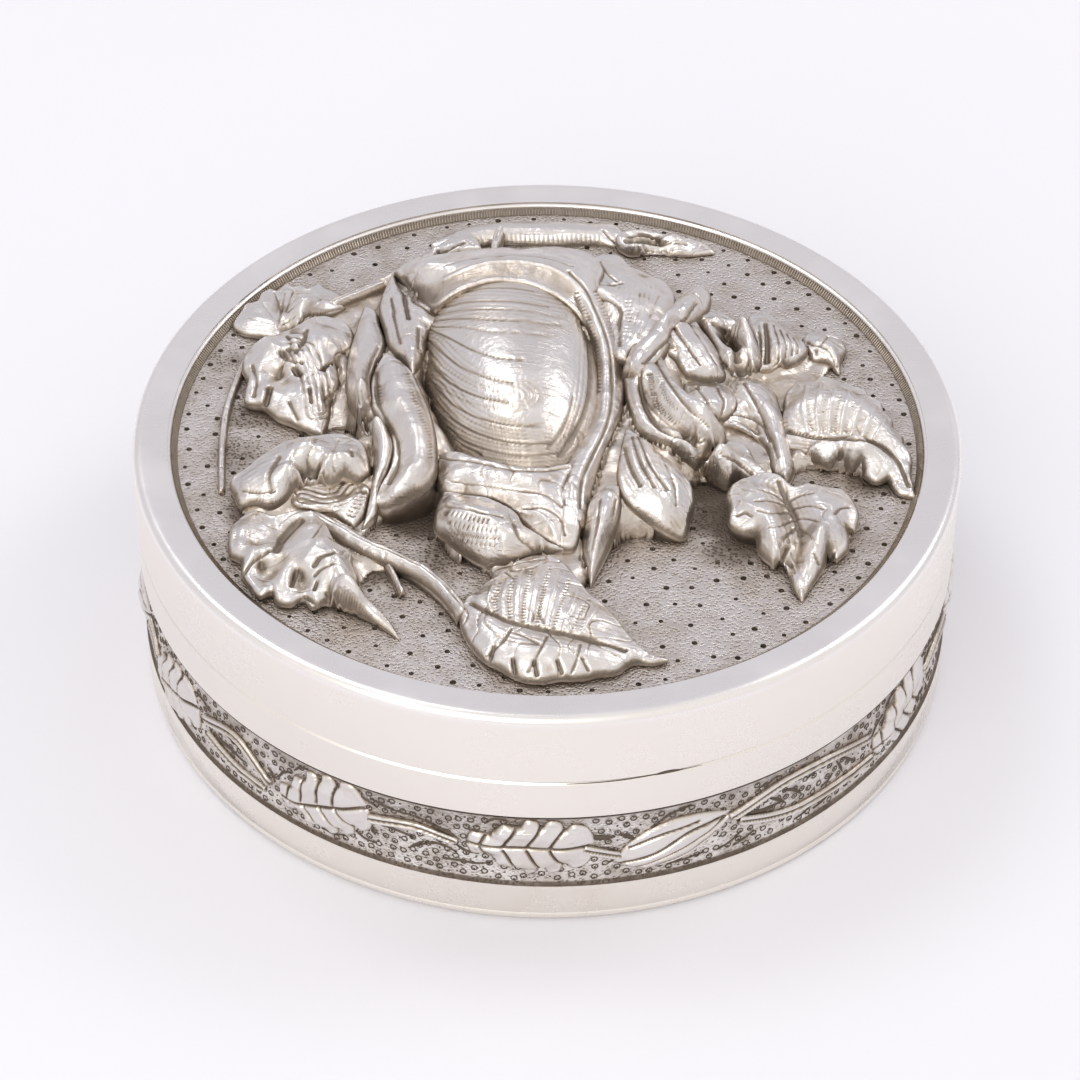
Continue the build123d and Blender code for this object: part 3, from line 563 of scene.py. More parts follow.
def thin_plate(control, x, y, slack=0.02):
    """A smooth sheet through control points, whose rows are x, y and height."""
    def bend(r2):
        return 0.5 * r2 * np.log(r2 + 1e-12)

    c = np.asarray(control, float)
    gaps = (c[:, None, :2] - c[None, :, :2])
    matrix = bend(np.sum(gaps ** 2, -1)) + np.eye(len(c)) * slack
    edge = np.column_stack([np.ones(len(c)), c[:, :2]])
    system = np.block([[matrix, edge], [edge.T, np.zeros((3, 3))]])
    weights = np.linalg.lstsq(system, np.concatenate([c[:, 2], np.zeros(3)]), rcond=None)[0]
    height = weights[-3] + weights[-2] * x + weights[-1] * y
    for (cx, cy), w in zip(c[:, :2], weights[:-3]):
        height = height + w * bend((x - cx) ** 2 + (y - cy) ** 2)
    return height


def blurred(values, mask, radius):
    """Mean over a neighbourhood on a grid, counting only the nodes in the mask."""
    reach = max(int(radius * 2.5), 1)
    kernel = np.exp(-0.5 * (np.arange(-reach, reach + 1) / max(radius, 0.5)) ** 2)
    total = np.where(mask, values, 0.0)
    weight = mask.astype(float)
    for axis in (0, 1):
        total = np.apply_along_axis(np.convolve, axis, total, kernel, mode="same") \
            if min(total.shape) > len(kernel) else total
        weight = np.apply_along_axis(np.convolve, axis, weight, kernel, mode="same") \
            if min(weight.shape) > len(kernel) else weight
    return total / np.maximum(weight, 1e-9)


def hammered(x, y, size):
    """Gentle uneven dents about a size across, from crossed waves. It stays between -1 and 1."""
    total = np.zeros(x.shape)
    for k in range(9):
        turn = 2.4 * k
        total += np.sin((x * math.cos(turn) + y * math.sin(turn)) * (0.7 + 0.13 * k) * 6.283 / size + 1.7 * k * k)
    return total / 4.5


def engraved(x, y, grooves, ticks, ridges, combs):
    """Change of height from engraved lines, raised veins, and bands of strokes across or along a line."""
    change = np.zeros(x.shape)
    for points, width, depth in list(grooves) + [(line, width, -rise) for line, width, rise in ridges]:
        gap = nearest_on(even_line(points, 0.4), x, y)[0]
        change -= depth * np.exp(-(gap / width) ** 2)
    for marks, across in ((ticks, False), (combs, True)):
        for points, band, pitch, depth in marks:
            gap, along = nearest_on(even_line(points, 0.4), x, y)[:2]
            side = nearest_on(even_line(points, 0.4), x, y)[4]
            inside = 1 / (1 + np.exp((gap - band) / 0.06))
            stroke = (0.5 + 0.5 * np.cos(2 * math.pi * (gap * side if across else along) / pitch)) ** 2.2
            change -= depth * stroke * inside
    return change


raised_parts = []  # places and heights of the lid's relief, in millimetres, for the sheet between its parts


def chase(name, outline, forms=(), grooves=(), ticks=(), ridges=(), combs=(), roll=0.25, bead=0.08, undercut=0.25,
          lip=0.45, foot=-0.12, pitch=None, place=None, finish="chased_silver", drawn=True, wave=0.16, flow=0.07, crease=0.13,
          shades=()):
    """A repousse piece: a smooth sheet between its outline and its form lines, chased and set on its ground.

    place puts drawn millimetres on the box, in metres. Without it, the piece lies on the lid's panel."""
    pitch = pitch or sizes().chasing_pitch / MM
    convert = seen_at if drawn else np.asarray
    edge = even_line(convert(outline), 0.18, closed=True)
    if np.sum(edge[:, 0] * np.roll(edge[:, 1], -1) - np.roll(edge[:, 0], -1) * edge[:, 1]) < 0:
        edge = edge[::-1]
    low = edge[:, :2].min(0) - 2 * pitch
    spans = np.ceil((edge[:, :2].max(0) + 2 * pitch - low) / pitch).astype(int)
    x, y = np.meshgrid(low[0] + np.arange(spans[0] + 1) * pitch, low[1] + np.arange(spans[1] + 1) * pitch,
                       indexing="ij")
    cells = within(edge, x[:-1, :-1] + pitch / 2, y[:-1, :-1] + pitch / 2)
    used, border = corners_of(cells)
    x[border], y[border] = nearest_on(edge, x[border], y[border], closed=True)[2:4]
    inner = used & ~border
    for _ in range(4):
        for grid in (x, y):
            mean = (np.roll(grid, 1, 0) + np.roll(grid, -1, 0) + np.roll(grid, 1, 1) + np.roll(grid, -1, 1)) / 4
            grid[inner] = 0.5 * grid[inner] + 0.5 * mean[inner]
    control = [edge[::5]] + [even_line(convert(line), 0.8) for line in forms]
    z = np.zeros(x.shape)
    z[used] = thin_plate(np.concatenate(control), x[used], y[used])
    gap = np.full(x.shape, 9.0)
    gap[used] = nearest_on(edge, x[used], y[used], closed=True)[0]
    seen_x, seen_y = drawn_at(x, y, z) if drawn else (x, y)
    detail = np.zeros(x.shape)
    detail[used] = engraved(seen_x[used], seen_y[used], grooves, ticks, ridges, combs)
    if flow and forms:
        line = [point[:2] for point in forms[0]]
        hair = engraved(seen_x[used], seen_y[used], (), (), (), [(line, 3.2, 0.64, flow)])
        detail[used] += hair * (0.55 + 0.45 * hammered(x[used], y[used], 7.0))
    detail += wave * (0.7 * hammered(x, y, 5.5) + 0.3 * hammered(y + 7, x - 3, 2.4))
    fold = hammered(x + 1.5 * hammered(y, x, 9.0), y, 6.5)
    detail -= crease * np.exp(-(fold / 0.07) ** 2) * (0.6 + 0.4 * hammered(x, y, 11.0))
    z = z + detail * np.clip(gap / 0.3, 0, 1)
    z -= roll * np.clip(1 - gap / 0.55, 0, 1) ** 2
    z += bead * np.exp(-((gap - 0.36) / 0.2) ** 2)
    if place is None:
        limit = (cad_high.z - sizes().panel_face) / MM - 0.7
        over = np.maximum(z - limit, 0)
        z = np.where(over > 0, limit + 0.6 * (1 - np.exp(-over / 0.6)), z)
        raised_parts.append(np.stack([x[used], y[used], z[used]], -1))
    hollow = np.zeros(x.shape)
    for radius, gain in ((1.5, 5.5), (4.0, 1.6), (10.0, 0.42)):
        hollow += gain * np.clip(blurred(z, used, radius) - z, -0.1, 0.6)
    hollow = 0.6 * hollow + 3.0 * np.clip(-detail - 0.06, 0, 0.3)
    # Given lines darken or lighten bands of the sheet: partly the metal's tan tone, partly painted shade, and where
    # negative, painted light over places the occlusion darkens.
    for line, width, amount in shades:
        hollow[used] += amount * np.exp(-(nearest_on(even_line(line, 0.4), seen_x[used], seen_y[used])[0] / width) ** 2)
    return raised_sheet(name, cells, x, y, z, np.clip(hollow, 0, 0.85), finish, place, undercut, lip, foot)


def corners_of(cells):
    """Mends cells that touch only at a corner. Returns the grid corners in use, and those on the border."""
    for _ in range(6):
        pinch = cells[:-1, :-1] & cells[1:, 1:] & ~cells[1:, :-1] & ~cells[:-1, 1:]
        cells[1:, :-1] |= pinch
        pinch = cells[1:, :-1] & cells[:-1, 1:] & ~cells[:-1, :-1] & ~cells[1:, 1:]
        cells[:-1, :-1] |= pinch
    touching = np.zeros((cells.shape[0] + 1, cells.shape[1] + 1), int)
    for di, dj in ((0, 0), (1, 0), (0, 1), (1, 1)):
        touching[di:di + cells.shape[0], dj:dj + cells.shape[1]] += cells
    return touching > 0, (touching > 0) & (touching < 4)


def raised_sheet(name, cells, x, y, z, dark, finish, place=None, undercut=0.0, lip=0.3, foot=-0.12):
    """A closed piece: a sheet over the cells of a grid, with walls from its edge down to its foot."""
    used, _ = corners_of(cells)
    index = np.full(x.shape, -1)
    index[used] = np.arange(used.sum())
    points = np.stack([x[used], y[used], z[used]], -1)
    ci, cj = np.nonzero(cells)
    faces = [tuple(q) for q in np.stack([index[ci, cj], index[ci + 1, cj], index[ci + 1, cj + 1],
                                         index[ci, cj + 1]], -1)]
    padded = np.pad(cells, 1)
    ahead = {}
    for di, dj, si, sj, ei, ej in ((0, -1, 0, 0, 1, 0), (1, 0, 1, 0, 1, 1), (0, 1, 1, 1, 0, 1), (-1, 0, 0, 1, 0, 0)):
        rim = ~padded[ci + 1 + di, cj + 1 + dj]
        for a, b in zip(index[ci[rim] + si, cj[rim] + sj], index[ci[rim] + ei, cj[rim] + ej]):
            ahead.setdefault(int(a), []).append(int(b))
    all_points = [points]
    tarnish_and_shade = [dark[used]]
    count = len(points)
    while ahead:
        first = next(iter(ahead))
        loop = [first]
        while True:
            choices = ahead[loop[-1]]
            after = choices.pop()
            if not choices:
                del ahead[loop[-1]]
            if after == first:
                break
            loop.append(after)
        rim = points[loop]
        along = np.roll(rim[:, :2], -2, 0) - np.roll(rim[:, :2], 2, 0)
        for _ in range(3):
            along = (np.roll(along, 1, 0) + along + np.roll(along, -1, 0)) / 3
        along /= np.linalg.norm(along, axis=1)[:, None] + 1e-9
        inward = np.stack([-along[:, 1], along[:, 0]], -1)
        drop = rim[:, 2] - foot
        rings = [loop]
        # The walls darken toward their foot: oxide and painted shade where the relief meets the ground.
        for depth, inset, shade in ((np.minimum(lip, drop * 0.5), -0.05, 0.05),
                                    (np.minimum(lip * 2.2, drop * 0.75), undercut * 0.7, 0.3),
                                    (drop, undercut, 0.9)):
            ring = rim.copy()
            ring[:, 2] -= depth
            ring[:, :2] += inward * inset
            all_points.append(ring)
            tarnish_and_shade.append(np.full(len(ring), shade))
            rings.append(list(range(count, count + len(ring))))
            count += len(ring)
        for upper, lower in zip(rings, rings[1:]):
            for k in range(len(loop)):
                after = (k + 1) % len(loop)
                faces.append((upper[after], upper[k], lower[k], lower[after]))
        faces.append(tuple(rings[-1][::-1]))
    every = np.concatenate(all_points)
    every = place(every) if place else every * MM + np.array([0, 0, sizes().panel_face])
    return new_piece(name, every, faces, finish, np.concatenate(tarnish_and_shade))


def spread_over(values, cells, pick):
    """The highest or lowest value within a round neighbourhood of a grid."""
    best = values.copy()
    for i in range(-cells, cells + 1):
        for j in range(-cells, cells + 1):
            if 0 < i * i + j * j <= cells * cells:
                best = pick(best, np.roll(np.roll(values, i, 0), j, 1))
    return best


class BETELBOX_OT_bed(bpy.types.Operator):
    """Lays the sheet that joins neighbouring parts of the relief, a little below them"""
    bl_idname = "betelbox.bed"
    bl_label = "Bed of the relief"

    def execute(self, context):
        pitch = 0.28
        reach = 44.0
        ticks = np.arange(-reach, reach + pitch, pitch)
        x, y = np.meshgrid(ticks, ticks, indexing="ij")
        top = np.zeros(x.shape)
        for part in raised_parts:
            place = np.rint((part[:, :2] + reach) / pitch).astype(int).clip(0, len(ticks) - 1)
            np.maximum.at(top, (place[:, 0], place[:, 1]), part[:, 2])
        covered = top > 0
        closed = spread_over(spread_over(top, 8, np.maximum), 8, np.minimum)
        level = np.where(covered, np.minimum(closed - 1.3, top - 0.35), closed - 1.3)
        for near_x, near_y, size in ((20.8, -12.5, 4.2), (20.5, -18.0, 3.6), (-15.6, -14.2, 2.8)):
            level = level - 8 * np.exp(-((x - near_x) ** 2 + (y - near_y) ** 2) / size ** 2)
        level = blurred(level, level > -9, 1.6)
        level = np.where(covered, np.minimum(level, top - 0.25), level)
        level += 0.12 * hammered(x, y, 4.0)
        open_places = spread_over(((~covered) & (closed > 1.7)).astype(float), 5, np.maximum) > 0
        behind_hood = (y > 21.5) & (x > -16) & (x < 12)
        shown = (level > 0.2) & open_places & ~behind_hood
        cells = shown[:-1, :-1] & shown[1:, :-1] & shown[:-1, 1:] & shown[1:, 1:]
        # Darker where the bed lies deeper below the relief round it: oxide and painted shade.
        dark = np.clip(0.25 + 0.12 * (closed - level - 1.3), 0.25, 0.7)
        bed = raised_sheet("relief_bed", cells, x, y, level, dark, "chased_silver", undercut=0.0)
        set_out(bed, "lid", "chased_silver")
        return {"FINISHED"}


# ---------------------------------------------------------------- base
class BETELBOX_OT_base(bpy.types.Operator):
    """Turns the drawn base wall, its base plate and the bezel that guides the lid"""
    bl_idname = "betelbox.base"
    bl_label = "Base"

    def execute(self, context):
        s = sizes()
        outer = s.outer_radius
        inner = outer - s.wall_thickness
        round_edge = s.edge_rounding
        low, high = 6.0 * MM, 17.2 * MM
        sink = 0.45 * MM
        profile = [(inner, 0)] + quarter(outer - round_edge, round_edge, round_edge, -90)
        profile += [(outer, 1.2 * MM), (outer - 0.12 * MM, 1.4 * MM), (outer, 1.6 * MM)]
        profile += [(outer, low - 0.02 * MM), (outer - 0.25 * MM, low), (outer - sink, low + 0.02 * MM),
                    (outer - sink, high - 0.15 * MM), (outer - 0.25 * MM, high), (outer, high + 0.3 * MM)]
        profile += [(outer, s.base_height - 0.25 * MM), (outer - 0.2 * MM, s.base_height), (inner, s.base_height)]
        wall = turned_piece("base_wall_turned", profile, "polished_silver")
        set_out(wall, "base", "polished_silver", "base_wall")
        plate = turned_plate("base_plate_turned", inner, 0.0, 1.0 * MM, "polished_silver")
        set_out(plate, "base", "polished_silver", "base_plate")
        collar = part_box("bezel")
        thin = 0.8 * MM
        lead = 0.3 * MM
        top = collar[1].z
        profile = [(inner - thin, collar[0].z), (inner, collar[0].z)]
        profile += quarter(inner - lead, top - lead, lead, 0, 5)
        profile += quarter(inner - thin + lead / 2, top - lead / 2, lead / 2, 90, 4)
        bezel = turned_piece("bezel_turned", profile, "polished_silver")
        set_out(bezel, "base", "polished_silver", "bezel")
        return {"FINISHED"}


# ---------------------------------------------------------------- lid
def new_tree(name, **inputs):
    """A geometry tree with its geometry and named inputs, a number for each size and None for a material."""
    tree = bpy.data.node_groups.new(name, "GeometryNodeTree")
    tree.interface.new_socket("Geometry", in_out="INPUT", socket_type="NodeSocketGeometry")
    tree.interface.new_socket("Geometry", in_out="OUTPUT", socket_type="NodeSocketGeometry")
    for label, value in inputs.items():
        kind = {int: "Int", float: "Float"}.get(type(value), "Material")
        socket = tree.interface.new_socket(label, in_out="INPUT", socket_type="NodeSocket" + kind)
        if value is not None:
            socket.default_value = value
    return tree, tree.nodes.new("NodeGroupInput").outputs


def made(tree, kind, given=(), **settings):
    """The first output of a new node."""
    return add_node(tree, kind, given, **settings).outputs[0]


def painted(tree, geometry, finish):
    """Ends a tree: real geometry in one finish."""
    real = made(tree, "GeometryNodeRealizeInstances", {0: geometry})
    paint = made(tree, "GeometryNodeSetMaterial", {"Geometry": real, "Material": finish})
    tree.links.new(paint, tree.nodes.new("NodeGroupOutput").inputs[0])
    return tree


def grown(name, start, tree, values, finish):
    """Runs a geometry tree on a start mesh and returns the plain mesh object that it makes."""
    values = {"Finish": finishes[finish], **values}
    modifier = start.modifiers.new(name, "NODES")
    modifier.node_group = tree
    for item in tree.interface.items_tree:
        if item.item_type == "SOCKET" and item.in_out == "INPUT" and item.name in values:
            modifier[item.identifier] = values[item.name]
    bpy.context.view_layer.update()
    evaluated = start.evaluated_get(bpy.context.evaluated_depsgraph_get())
    mesh = bpy.data.meshes.new_from_object(evaluated)
    start.modifiers.remove(modifier)
    bpy.data.objects.remove(start)
    mesh.name = name
    piece = bpy.data.objects.new(name, mesh)
    bpy.context.scene.collection.objects.link(piece)
    return piece


def scattered(tree, surface, distance, seed):
    """Points spread over a surface, at least a distance apart."""
    return add_node(tree, "GeometryNodeDistributePointsOnFaces", {
        "Mesh": surface, "Distance Min": distance, "Density Max": 4000000.0, "Seed": seed},
        distribute_method="POISSON").outputs


def rib_tree():
    """Copies one rib round the axis."""
    tree, given = new_tree("milled_ribs", Count=100, Finish=None)
    spots = made(tree, "GeometryNodePoints", {"Count": given["Count"]})
    share = maths(tree, "DIVIDE", made(tree, "GeometryNodeInputIndex"), given["Count"])
    turn = made(tree, "ShaderNodeCombineXYZ", {"Z": maths(tree, "MULTIPLY", share, 2 * math.pi)})
    copies = made(tree, "GeometryNodeInstanceOnPoints", {
        "Points": spots, "Instance": given["Geometry"], "Rotation": turn})
    return painted(tree, copies, given["Finish"])


def ring_tree():
    """Strikes small ring punches over a surface, at least a distance apart."""
    tree, given = new_tree("ring_punches", Distance=0.001, Ring=0.0003, Wire=0.0001, Tarnish=0.5, Finish=None)
    spots = scattered(tree, given["Geometry"], given["Distance"], 11)
    circle = made(tree, "GeometryNodeCurvePrimitiveCircle", {"Resolution": 9, "Radius": given["Ring"]})
    wire = made(tree, "GeometryNodeCurvePrimitiveCircle", {"Resolution": 4, "Radius": given["Wire"]})
    ring = made(tree, "GeometryNodeCurveToMesh", {"Curve": circle, "Profile Curve": wire})
    copies = made(tree, "GeometryNodeInstanceOnPoints", {
        "Points": spots["Points"], "Instance": ring, "Rotation": spots["Rotation"]})
    dark = made(tree, "GeometryNodeStoreNamedAttribute", {
        "Geometry": made(tree, "GeometryNodeRealizeInstances", {0: copies}), "Name": "tarnish_and_shade",
        "Value": given["Tarnish"]}, data_type="FLOAT", domain="POINT")
    return painted(tree, dark, given["Finish"])


def pit_tree():
    """Punches round pits into a plate, at least a distance apart, and writes their darkness on them."""
    tree, given = new_tree("punched_pits", Distance=0.002, Radius=0.0004, Depth=0.0003, Face=0.03, Reach=0.04,
                           Finish=None)
    disc = made(tree, "GeometryNodeMeshCircle", {"Vertices": 64, "Radius": given["Reach"]}, fill_type="NGON")
    lift = made(tree, "ShaderNodeCombineXYZ", {"Z": given["Face"]})
    raised = made(tree, "GeometryNodeTransform", {"Geometry": disc, "Translation": lift})
    spots = scattered(tree, raised, given["Distance"], 4)
    cup = made(tree, "GeometryNodeMeshCone", {
        "Vertices": 12, "Radius Top": given["Radius"], "Radius Bottom": maths(tree, "MULTIPLY", given["Radius"], 0.5),
        "Depth": maths(tree, "MULTIPLY", given["Depth"], 2.0)})
    down = made(tree, "ShaderNodeCombineXYZ", {"Z": maths(tree, "MULTIPLY", given["Depth"], -1.0)})
    lowered = made(tree, "GeometryNodeTransform", {"Geometry": cup, "Translation": down})
    girth = add_node(tree, "FunctionNodeRandomValue", {2: 0.75, 3: 1.15, "Seed": 7}, data_type="FLOAT").outputs[1]
    copies = made(tree, "GeometryNodeInstanceOnPoints", {
        "Points": spots["Points"], "Instance": lowered, "Scale": girth})
    real = made(tree, "GeometryNodeRealizeInstances", {0: copies})
    cut = made(tree, "GeometryNodeMeshBoolean", {0: given["Geometry"], 1: real}, operation="DIFFERENCE",
               solver="MANIFOLD")
    place = made(tree, "GeometryNodeInputPosition")
    height = add_node(tree, "ShaderNodeSeparateXYZ", {0: place}).outputs["Z"]
    depth = maths(tree, "SUBTRACT", given["Face"], height)
    in_pit = maths(tree, "MULTIPLY", maths(tree, "GREATER_THAN", depth, 0.00002),
                   maths(tree, "LESS_THAN", depth, 0.0006))
    dark = made(tree, "GeometryNodeStoreNamedAttribute", {"Geometry": cut, "Name": "tarnish_and_shade", "Value": in_pit},
                data_type="FLOAT", domain="FACE")
    return painted(tree, dark, given["Finish"])


class BETELBOX_OT_lid(bpy.types.Operator):
    """Turns the lid's shell, punches its stippled panel and mills the border between them"""
    bl_idname = "betelbox.lid"
    bl_label = "Lid"

    def execute(self, context):
        s = sizes()
        outer = s.outer_radius
        crest = s.lid_crest
        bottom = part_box("lid_shell")[0].z
        inner = outer - 1.12 * MM
        rim_inner = outer - s.rim_width
        rim_inner_height = crest - 0.36 * MM
        round_edge = s.edge_rounding
        profile = [(inner, bottom), (outer - 0.2 * MM, bottom), (outer, bottom + 0.2 * MM)]
        profile += quarter(outer - round_edge, crest - round_edge, round_edge, 0, 10)
        profile += [(outer - share * MM, crest - fall * MM) for share, fall in (
            (1.3, 0.005), (1.6, 0.015), (2.4, 0.07), (3.2, 0.13), (4.0, 0.19), (4.2, 0.21))]
        profile += quarter(rim_inner + 0.35 * MM, rim_inner_height - 0.45 * MM, 0.35 * MM, 90, 6)[:-1]
        profile += [(rim_inner, rim_inner_height - 0.5 * MM), (rim_inner, s.panel_face), (inner, s.panel_face)]
        shell = turned_piece("lid_shell_turned", profile, "polished_silver")
        set_out(shell, "lid", "polished_silver", "lid_shell")

        face = s.panel_face
        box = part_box("lid_panel")
        slab = turned_plate("panel_blank", box[1].x, box[0].z, face, "stippled_silver", rings=14)
        panel = grown("lid_panel_punched", slab, pit_tree(), {
            "Distance": s.pit_distance, "Radius": s.pit_radius, "Depth": 0.3 * MM, "Face": face,
            "Reach": rim_inner - 1.5 * MM}, "stippled_silver")
        panel.data.set_sharp_from_angle(angle=math.radians(35))
        set_out(panel, "lid", "stippled_silver", "lid_panel")

        width = 0.8 * MM
        slope = [(rim_inner, face), (rim_inner, face + 0.62 * MM), (rim_inner - width + 0.1 * MM, face + 0.08 * MM),
                 (rim_inner - width + 0.1 * MM, face)]
        bed = turned_piece("border_bed", slope[::-1], "chased_silver", [1.0, 0.9, 0.7, 1.0])
        set_out(bed, "lid", "stippled_silver")
        half = math.pi * rim_inner / s.border_ribs * 0.56
        top = face + 0.78 * MM
        near = rim_inner - width
        far = rim_inner - 0.03 * MM
        rib = [(near, -half, face), (near, half, face), (far, half, face), (far, -half, face),
               (near + 0.1 * MM, 0, face + 0.2 * MM), (far - 0.08 * MM, 0, top),
               (far, half * 0.7, top - 0.12 * MM), (far, -half * 0.7, top - 0.12 * MM)]
        faces = [(0, 1, 2, 3)[::-1], (0, 1, 4)[::-1], (1, 2, 6)[::-1], (1, 6, 5, 4)[::-1], (0, 4, 5, 7)[::-1],
                 (0, 7, 3)[::-1], (5, 6, 7)[::-1], (2, 3, 7, 6)[::-1]]
        seed = new_piece("rib_seed", rib, [f[::-1] if n else f for n, f in enumerate(faces)], "chased_silver",
                         [0.9, 0.9, 0.9, 0.9, 0.5, 0.15, 0.8, 0.8], smooth=False)
        ribs = grown("milled_border_ribs", seed, rib_tree(), {"Count": s.border_ribs}, "chased_silver")
        set_out(ribs, "lid", "stippled_silver", "milled_border")
        return {"FINISHED"}


# ---------------------------------------------------------------- garland
WALL_RADIUS = 49.55  # millimetres, the sunk ground of the garland


def on_wall(points):
    """Wraps drawn places round the wall: distance round it, height up it, and rise from the sunk ground."""
    p = np.asarray(points, float)
    angle = p[:, 0] / WALL_RADIUS
    radius = WALL_RADIUS + p[:, 2]
    return np.stack([np.cos(angle) * radius, np.sin(angle) * radius, p[:, 1]], -1) * MM


def round_wall(angle):
    return math.radians(angle) * WALL_RADIUS


def garland_leaf(name, angle, rise, length, width, lean, lobes=5, flip=1):
    """A serrated leaf drawn along its midrib, with veins between its lobes."""
    cos, sin = math.cos(math.radians(lean)), math.sin(math.radians(lean))
    cx, cy = round_wall(angle), 11.6 + rise

    def put(along, across, height):
        u, v = (along - 0.5) * length, across * width / 2
        return (cx + u * cos - v * sin, cy + u * sin + v * cos, height)

    spread = [0.28, 0.78, 1.0, 0.97, 0.8, 0.52]
    upper = []
    for k in range(lobes):
        start = 0.03 + 0.9 * k / lobes
        wide = spread[min(k, len(spread) - 1)] if k else 0.55
        reach = 1.0 if k else 0.7
        upper.append((start + 0.015, wide * 0.72, 0.3))
        upper.append((start + 0.08, wide * 0.98 * reach, 0.34))
        upper.append((start + 0.15, wide * 1.0 * reach * 0.93, 0.34))
    tip = [(1.0, 0.02, 0.22)]
    side = [put(*p) for p in upper]
    other = [put(a, -b, h) for a, b, h in reversed(upper)]
    outline = [put(0, 0.1, 0.3)] + side + [put(*tip[0])] + other + [put(0, -0.1, 0.3)]
    midrib = [put(0, 0, 0.5), put(0.35, 0.05 * flip, 0.72), put(0.7, 0.02 * flip, 0.7), put(1.0, 0, 0.3)]
    forms = [[put(0.1, s * 0.12, 0.75), put(0.4, s * 0.34, 0.95), put(0.7, s * 0.26, 0.85)] for s in (1, -1)]
    forms += [[put(0.2, s * 0.5, 0.85), put(0.5, s * 0.66, 0.82), put(0.78, s * 0.4, 0.7)] for s in (1, -1)]
    grooves = [(midrib, 0.26, 0.5)]
    for k in range(1, lobes):
        at = 0.03 + 0.9 * k / lobes
        for s in (1, -1):
            grooves.append(([put(at - 0.1, s * 0.08, 0), put(at - 0.05, s * 0.4, 0),
                             put(at + 0.02, s * spread[min(k, 5)] * 0.85, 0)], 0.18, 0.42))
    return chase(name, outline, forms, grooves, roll=0.16, undercut=0.12, lip=0.22, foot=-0.1, pitch=0.14,
                 place=on_wall, finish="garland_silver", drawn=False, wave=0.04, flow=0, crease=0)


def garland_bud(name, angle, rise, length, width, lean):
    """A pointed bud with three long folds."""
    cos, sin = math.cos(math.radians(lean)), math.sin(math.radians(lean))
    cx, cy = round_wall(angle), 11.6 + rise

    def put(along, across, height):
        u, v = (along - 0.5) * length, across * width / 2
        return (cx + u * cos - v * sin, cy + u * sin + v * cos, height)

    outline = [put(0, 0, 0.3), put(0.12, 0.5, 0.3), put(0.35, 0.95, 0.34), put(0.55, 1.0, 0.34),
               put(0.78, 0.68, 0.32), put(1, 0, 0.2), put(0.78, -0.6, 0.32), put(0.55, -0.95, 0.34),
               put(0.3, -0.92, 0.34), put(0.1, -0.5, 0.3)]
    forms = [[put(0.1, 0.1, 0.6), put(0.4, 0.3, 1.0), put(0.75, 0.2, 0.8)],
             [put(0.2, -0.5, 0.8), put(0.5, -0.55, 0.9), put(0.75, -0.3, 0.7)]]
    grooves = [([put(0.05, -0.2, 0), put(0.3, -0.1, 0), put(0.6, 0.25, 0), put(0.95, 0.05, 0)], 0.26, 0.5),
               ([put(0.12, -0.6, 0), put(0.35, -0.45, 0), put(0.7, -0.2, 0), put(0.9, -0.02, 0)], 0.2, 0.42),
               ([put(0.15, 0.45, 0), put(0.4, 0.6, 0), put(0.7, 0.5, 0)], 0.18, 0.36),
               ([put(0.3, -0.8, 0), put(0.55, -0.75, 0), put(0.8, -0.4, 0)], 0.16, 0.3)]
    return chase(name, outline, forms, grooves, roll=0.16, undercut=0.12, lip=0.22, foot=-0.1, pitch=0.14,
                 place=on_wall, finish="garland_silver", drawn=False, wave=0.04, flow=0, crease=0)


def stem_outline(line, width, height, taper=0.75):
    """Outline and crest of a stem of even width along a smooth line."""
    middle = even_line([(x, y, 0) for x, y in line], 1.0)[:, :2]
    along = np.gradient(middle, axis=0)
    along /= np.linalg.norm(along, axis=1)[:, None]
    across = np.stack([-along[:, 1], along[:, 0]], -1)
    half = width / 2 * np.linspace(1, taper, len(middle))[:, None]
    left = middle + across * half
    right = middle - across * half
    edge = np.concatenate([left, right[::-1]])
    outline = [(x, y, height * 0.55) for x, y in edge]
    crest = [(x, y, height) for x, y in middle]
    return outline, crest


def garland_stem(name, places):
    """A stem that winds along the garland, with a groove along its back."""
    line = [(round_wall(a), 11.6 + r) for a, r in places]
    outline, crest = stem_outline(line, 1.35, 0.8)
    groove = [(x, y + 0.12, 0) for x, y, _ in crest]
    return chase(name, outline, [crest], [(groove, 0.2, 0.42)], roll=0.14, undercut=0.08, lip=0.2, foot=-0.1,
                 pitch=0.14, place=on_wall, finish="garland_silver", drawn=False, wave=0.02, flow=0, crease=0)


def chisel_strokes(name, strokes, radius, height=0.13):
    """Tapered strokes of a chisel round the wall: low slivers, full of oxide."""
    points, faces = [], []
    for places, width in strokes:
        middle = even_line([(math.radians(a) * radius, z, 0) for a, z in places], 0.35)[:, :2]
        along = np.gradient(middle, axis=0)
        along /= np.linalg.norm(along, axis=1)[:, None]
        half = width / 2 * np.sin(math.pi * np.linspace(0.06, 0.97, len(middle))) ** 0.7
        aside = np.stack([-along[:, 1], along[:, 0]], -1) * half[:, None]
        start = len(points)
        for spot, off in zip(middle, aside):
            for (u, v), rise in ((spot + off, 0), (spot, height), (spot - off, 0), (spot, -height)):
                angle, out = u / radius, radius + rise
                points.append((math.cos(angle) * out * MM, math.sin(angle) * out * MM, v * MM))
        for k in range(start, start + 4 * len(middle) - 4, 4):
            faces += [(k + i, k + (i + 1) % 4, k + 4 + (i + 1) % 4, k + 4 + i) for i in range(4)]
        last = start + 4 * len(middle) - 4
        faces += [(start + 3, start + 2, start + 1, start), (last, last + 1, last + 2, last + 3)]
    return new_piece(name, points, faces, "garland_ground", np.full(len(points), 1.0), smooth=False)


